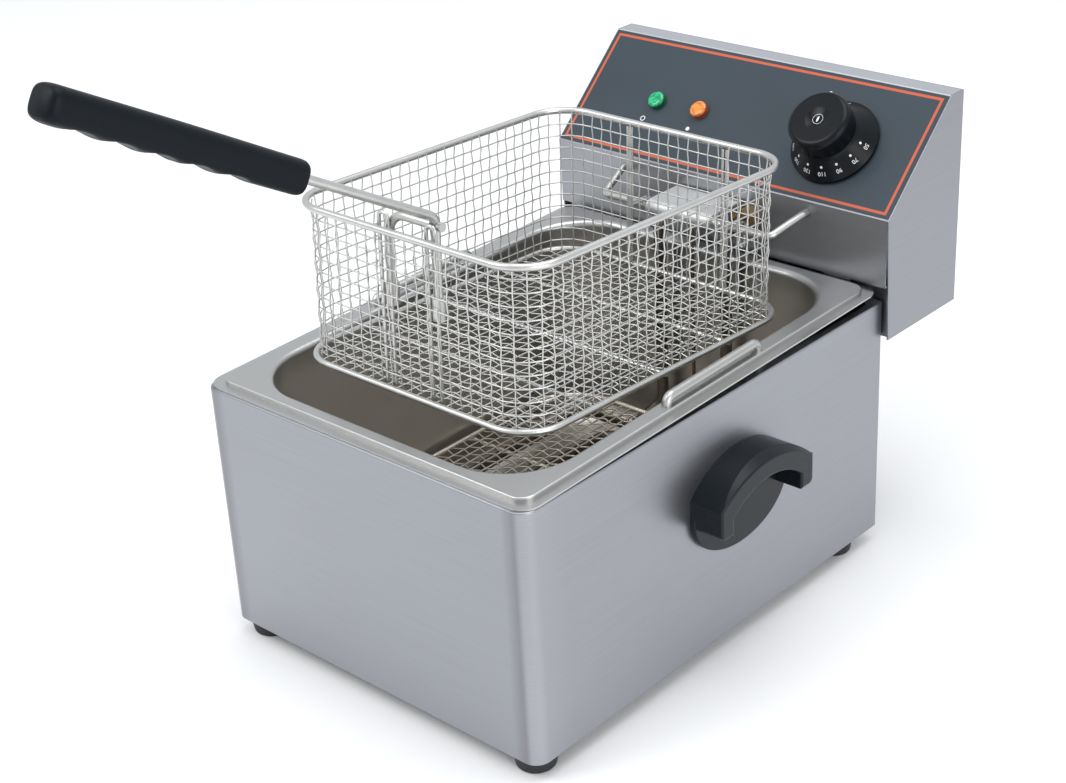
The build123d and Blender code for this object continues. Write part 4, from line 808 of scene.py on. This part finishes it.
def disc_mesh(radius, depth, inner=0.0):
    """A small printed dot, or a ring if it has an inner radius."""
    bm = bmesh.new()
    bmesh.ops.create_circle(bm, segments=32, radius=radius, cap_ends=inner == 0.0)
    if inner:
        made = bmesh.ops.extrude_edge_only(bm, edges=bm.edges[:])["geom"]
        ring = [g for g in made if isinstance(g, bmesh.types.BMVert)]
        bmesh.ops.scale(bm, vec=(inner / radius, inner / radius, 1), verts=ring)
    lifted = bmesh.ops.extrude_face_region(bm, geom=bm.faces[:])["geom"]
    top = [g for g in lifted if isinstance(g, bmesh.types.BMVert)]
    bmesh.ops.translate(bm, vec=(0, 0, depth), verts=top)
    return mesh_from(bm, "dot", smooth=False)


def joined(name, meshes):
    """Several meshes as one."""
    bm = bmesh.new()
    for mesh in meshes:
        bm.from_mesh(mesh)
        bpy.data.meshes.remove(mesh)
    return mesh_from(bm, name, smooth=False)


def dial_figures():
    """White temperatures and dots round the knob's skirt, and its off mark, in the knob's frame."""
    lean = Vector((SKIRT_RADIUS - CONE_RADIUS, CONE_HEIGHT - SKIRT_HEIGHT)).angle(Vector((1, 0)))
    marks = []
    for step in range(FIGURE_COUNT):
        temperature = str(LOWEST_FIGURE + step * FIGURE_STEP)
        marks.append((FIRST_FIGURE_ANGLE + step * FIGURE_SPACING, temperature))
    marks.append((0.0, "I"))
    meshes = []
    for angle, words in marks:
        turn = Matrix.Rotation(-radians(angle), 4, "Z")
        words_mesh = text_mesh(words, FIGURE_HEIGHT, DIAL_INK / 2)
        for share, mesh in ((FIGURE_SHARE, words_mesh), (DOT_SHARE, disc_mesh(DOT_RADIUS, DIAL_INK))):
            radius = SKIRT_RADIUS + (CONE_RADIUS - SKIRT_RADIUS) * share
            height = SKIRT_HEIGHT + (CONE_HEIGHT - SKIRT_HEIGHT) * share + DIAL_INK
            tip = Matrix.Translation((0, radius, height)) @ Matrix.Rotation(-lean, 4, "X")
            mesh.transform(KNOB @ turn @ tip)
            meshes.append(mesh)
    return joined("dial_figures", meshes)


def knob_mark():
    """A plain ring with a pointer on the knob's cap."""
    lift = Matrix.Translation((0, 0, height_over_fascia("thermostat_knob") - CAP_HOLLOW))
    ring = disc_mesh(CAP_RING_RADIUS, INK, inner=CAP_RING_HOLE)
    bar = disc_mesh(POINTER_RADIUS, INK)
    bar.transform(Matrix.Diagonal((1, POINTER_STRETCH, 1, 1)))
    for mesh in (ring, bar):
        mesh.transform(KNOB @ lift)
    return joined("knob_mark", [ring, bar])


def fascia_marks():
    """The dial's index dot and a plain mark under each lamp, printed on the film."""
    height = height_over_fascia("fascia_film")
    power_ring = disc_mesh(POWER_MARK_RADIUS, INK, inner=POWER_MARK_HOLE)
    meshes = []
    for across, down, mesh in (
        (INDEX_ACROSS, INDEX_DOWN, disc_mesh(INDEX_RADIUS, INK)),
        (POWER_MARK_ACROSS, LAMP_MARK_DOWN, power_ring),
        (HEATING_MARK_ACROSS, LAMP_MARK_DOWN, disc_mesh(HEATING_MARK_RADIUS, INK)),
    ):
        from_knob = across - KNOB.translation.x
        mesh.transform(KNOB @ Matrix.Translation((from_knob, KNOB_DOWN - down, height)))
        meshes.append(mesh)
    return joined("fascia_marks", meshes)


def print_figures():
    """All white print: the dial's, the cap's and the fascia's small marks."""
    piece("dial_figures", dial_figures(), "knob", FIGURE_WHITE)
    piece("knob_mark", knob_mark(), "knob", FIGURE_WHITE)
    piece("fascia_marks", fascia_marks(), "head", FIGURE_WHITE)


def camera():
    """The camera at the studio's viewing angle."""
    a, e = CAMERA_AZIMUTH, CAMERA_ELEVATION
    back = Vector((sin(a) * cos(e), -cos(a) * cos(e), sin(e)))
    level = Vector((cos(a), sin(a), 0))
    above = back.cross(level)
    right = level * cos(CAMERA_ROLL) + above * sin(CAMERA_ROLL)
    up = above * cos(CAMERA_ROLL) - level * sin(CAMERA_ROLL)
    data = bpy.data.cameras.new("camera")
    data.lens = CAMERA_LENS
    data.sensor_width = SENSOR_WIDTH
    data.clip_start = 0.01
    obj = bpy.data.objects.new("camera", data)
    turn = Matrix((right, up, back)).transposed().to_4x4()
    obj.matrix_world = Matrix.Translation(CASING_MIDDLE + CAMERA_PLACE) @ turn
    bpy.context.scene.collection.objects.link(obj)
    bpy.context.scene.camera = obj


def area_light(name, place, target, size, power):
    """A soft box that faces a target."""
    data = bpy.data.lights.new(name, "AREA")
    data.shape = "RECTANGLE"
    data.size, data.size_y = size
    data.energy = power
    obj = bpy.data.objects.new(name, data)
    obj.location = place
    obj.rotation_euler = (Vector(target) - Vector(place)).to_track_quat("-Z", "Y").to_euler()
    bpy.context.scene.collection.objects.link(obj)


def studio():
    """A pale floor, an even white surround and three soft boxes."""
    bm = bmesh.new()
    bmesh.ops.create_grid(bm, x_segments=1, y_segments=1, size=6.0)
    floor = bpy.data.objects.new("floor", mesh_from(bm, "floor", smooth=False))
    paper = Finish("floor_paper", (0.88, 0.88, 0.88), 0.8)
    floor.data.materials.append(paper.material)
    bpy.context.scene.collection.objects.link(floor)
    floor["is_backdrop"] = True
    world = bpy.data.worlds.new("studio")
    world.use_nodes = True
    background = world.node_tree.nodes["Background"]
    background.inputs["Color"].default_value = (0.93, 0.96, 1.0, 1)
    background.inputs["Strength"].default_value = 0.85
    bpy.context.scene.world = world
    bpy.context.scene.view_settings.view_transform = "Standard"
    target = (0, 0, 0.15)
    area_light("key", (-0.9, -1.3, 1.9), target, (1.2, 1.2), 22)
    area_light("top", (0.3, 0.4, 2.2), target, (1.6, 1.6), 22)
    area_light("side", (1.9, -0.3, 0.7), target, (1.0, 1.2), 11)


paint_nodes()
camera()
basket_cloth()
guard_cloth()
grip_skin()
print_figures()
studio()

corners = [[list(corner) for corner in bounds] for bounds in (CAD_BOX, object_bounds())]
{"cad": corners[0], "visual": corners[1]}
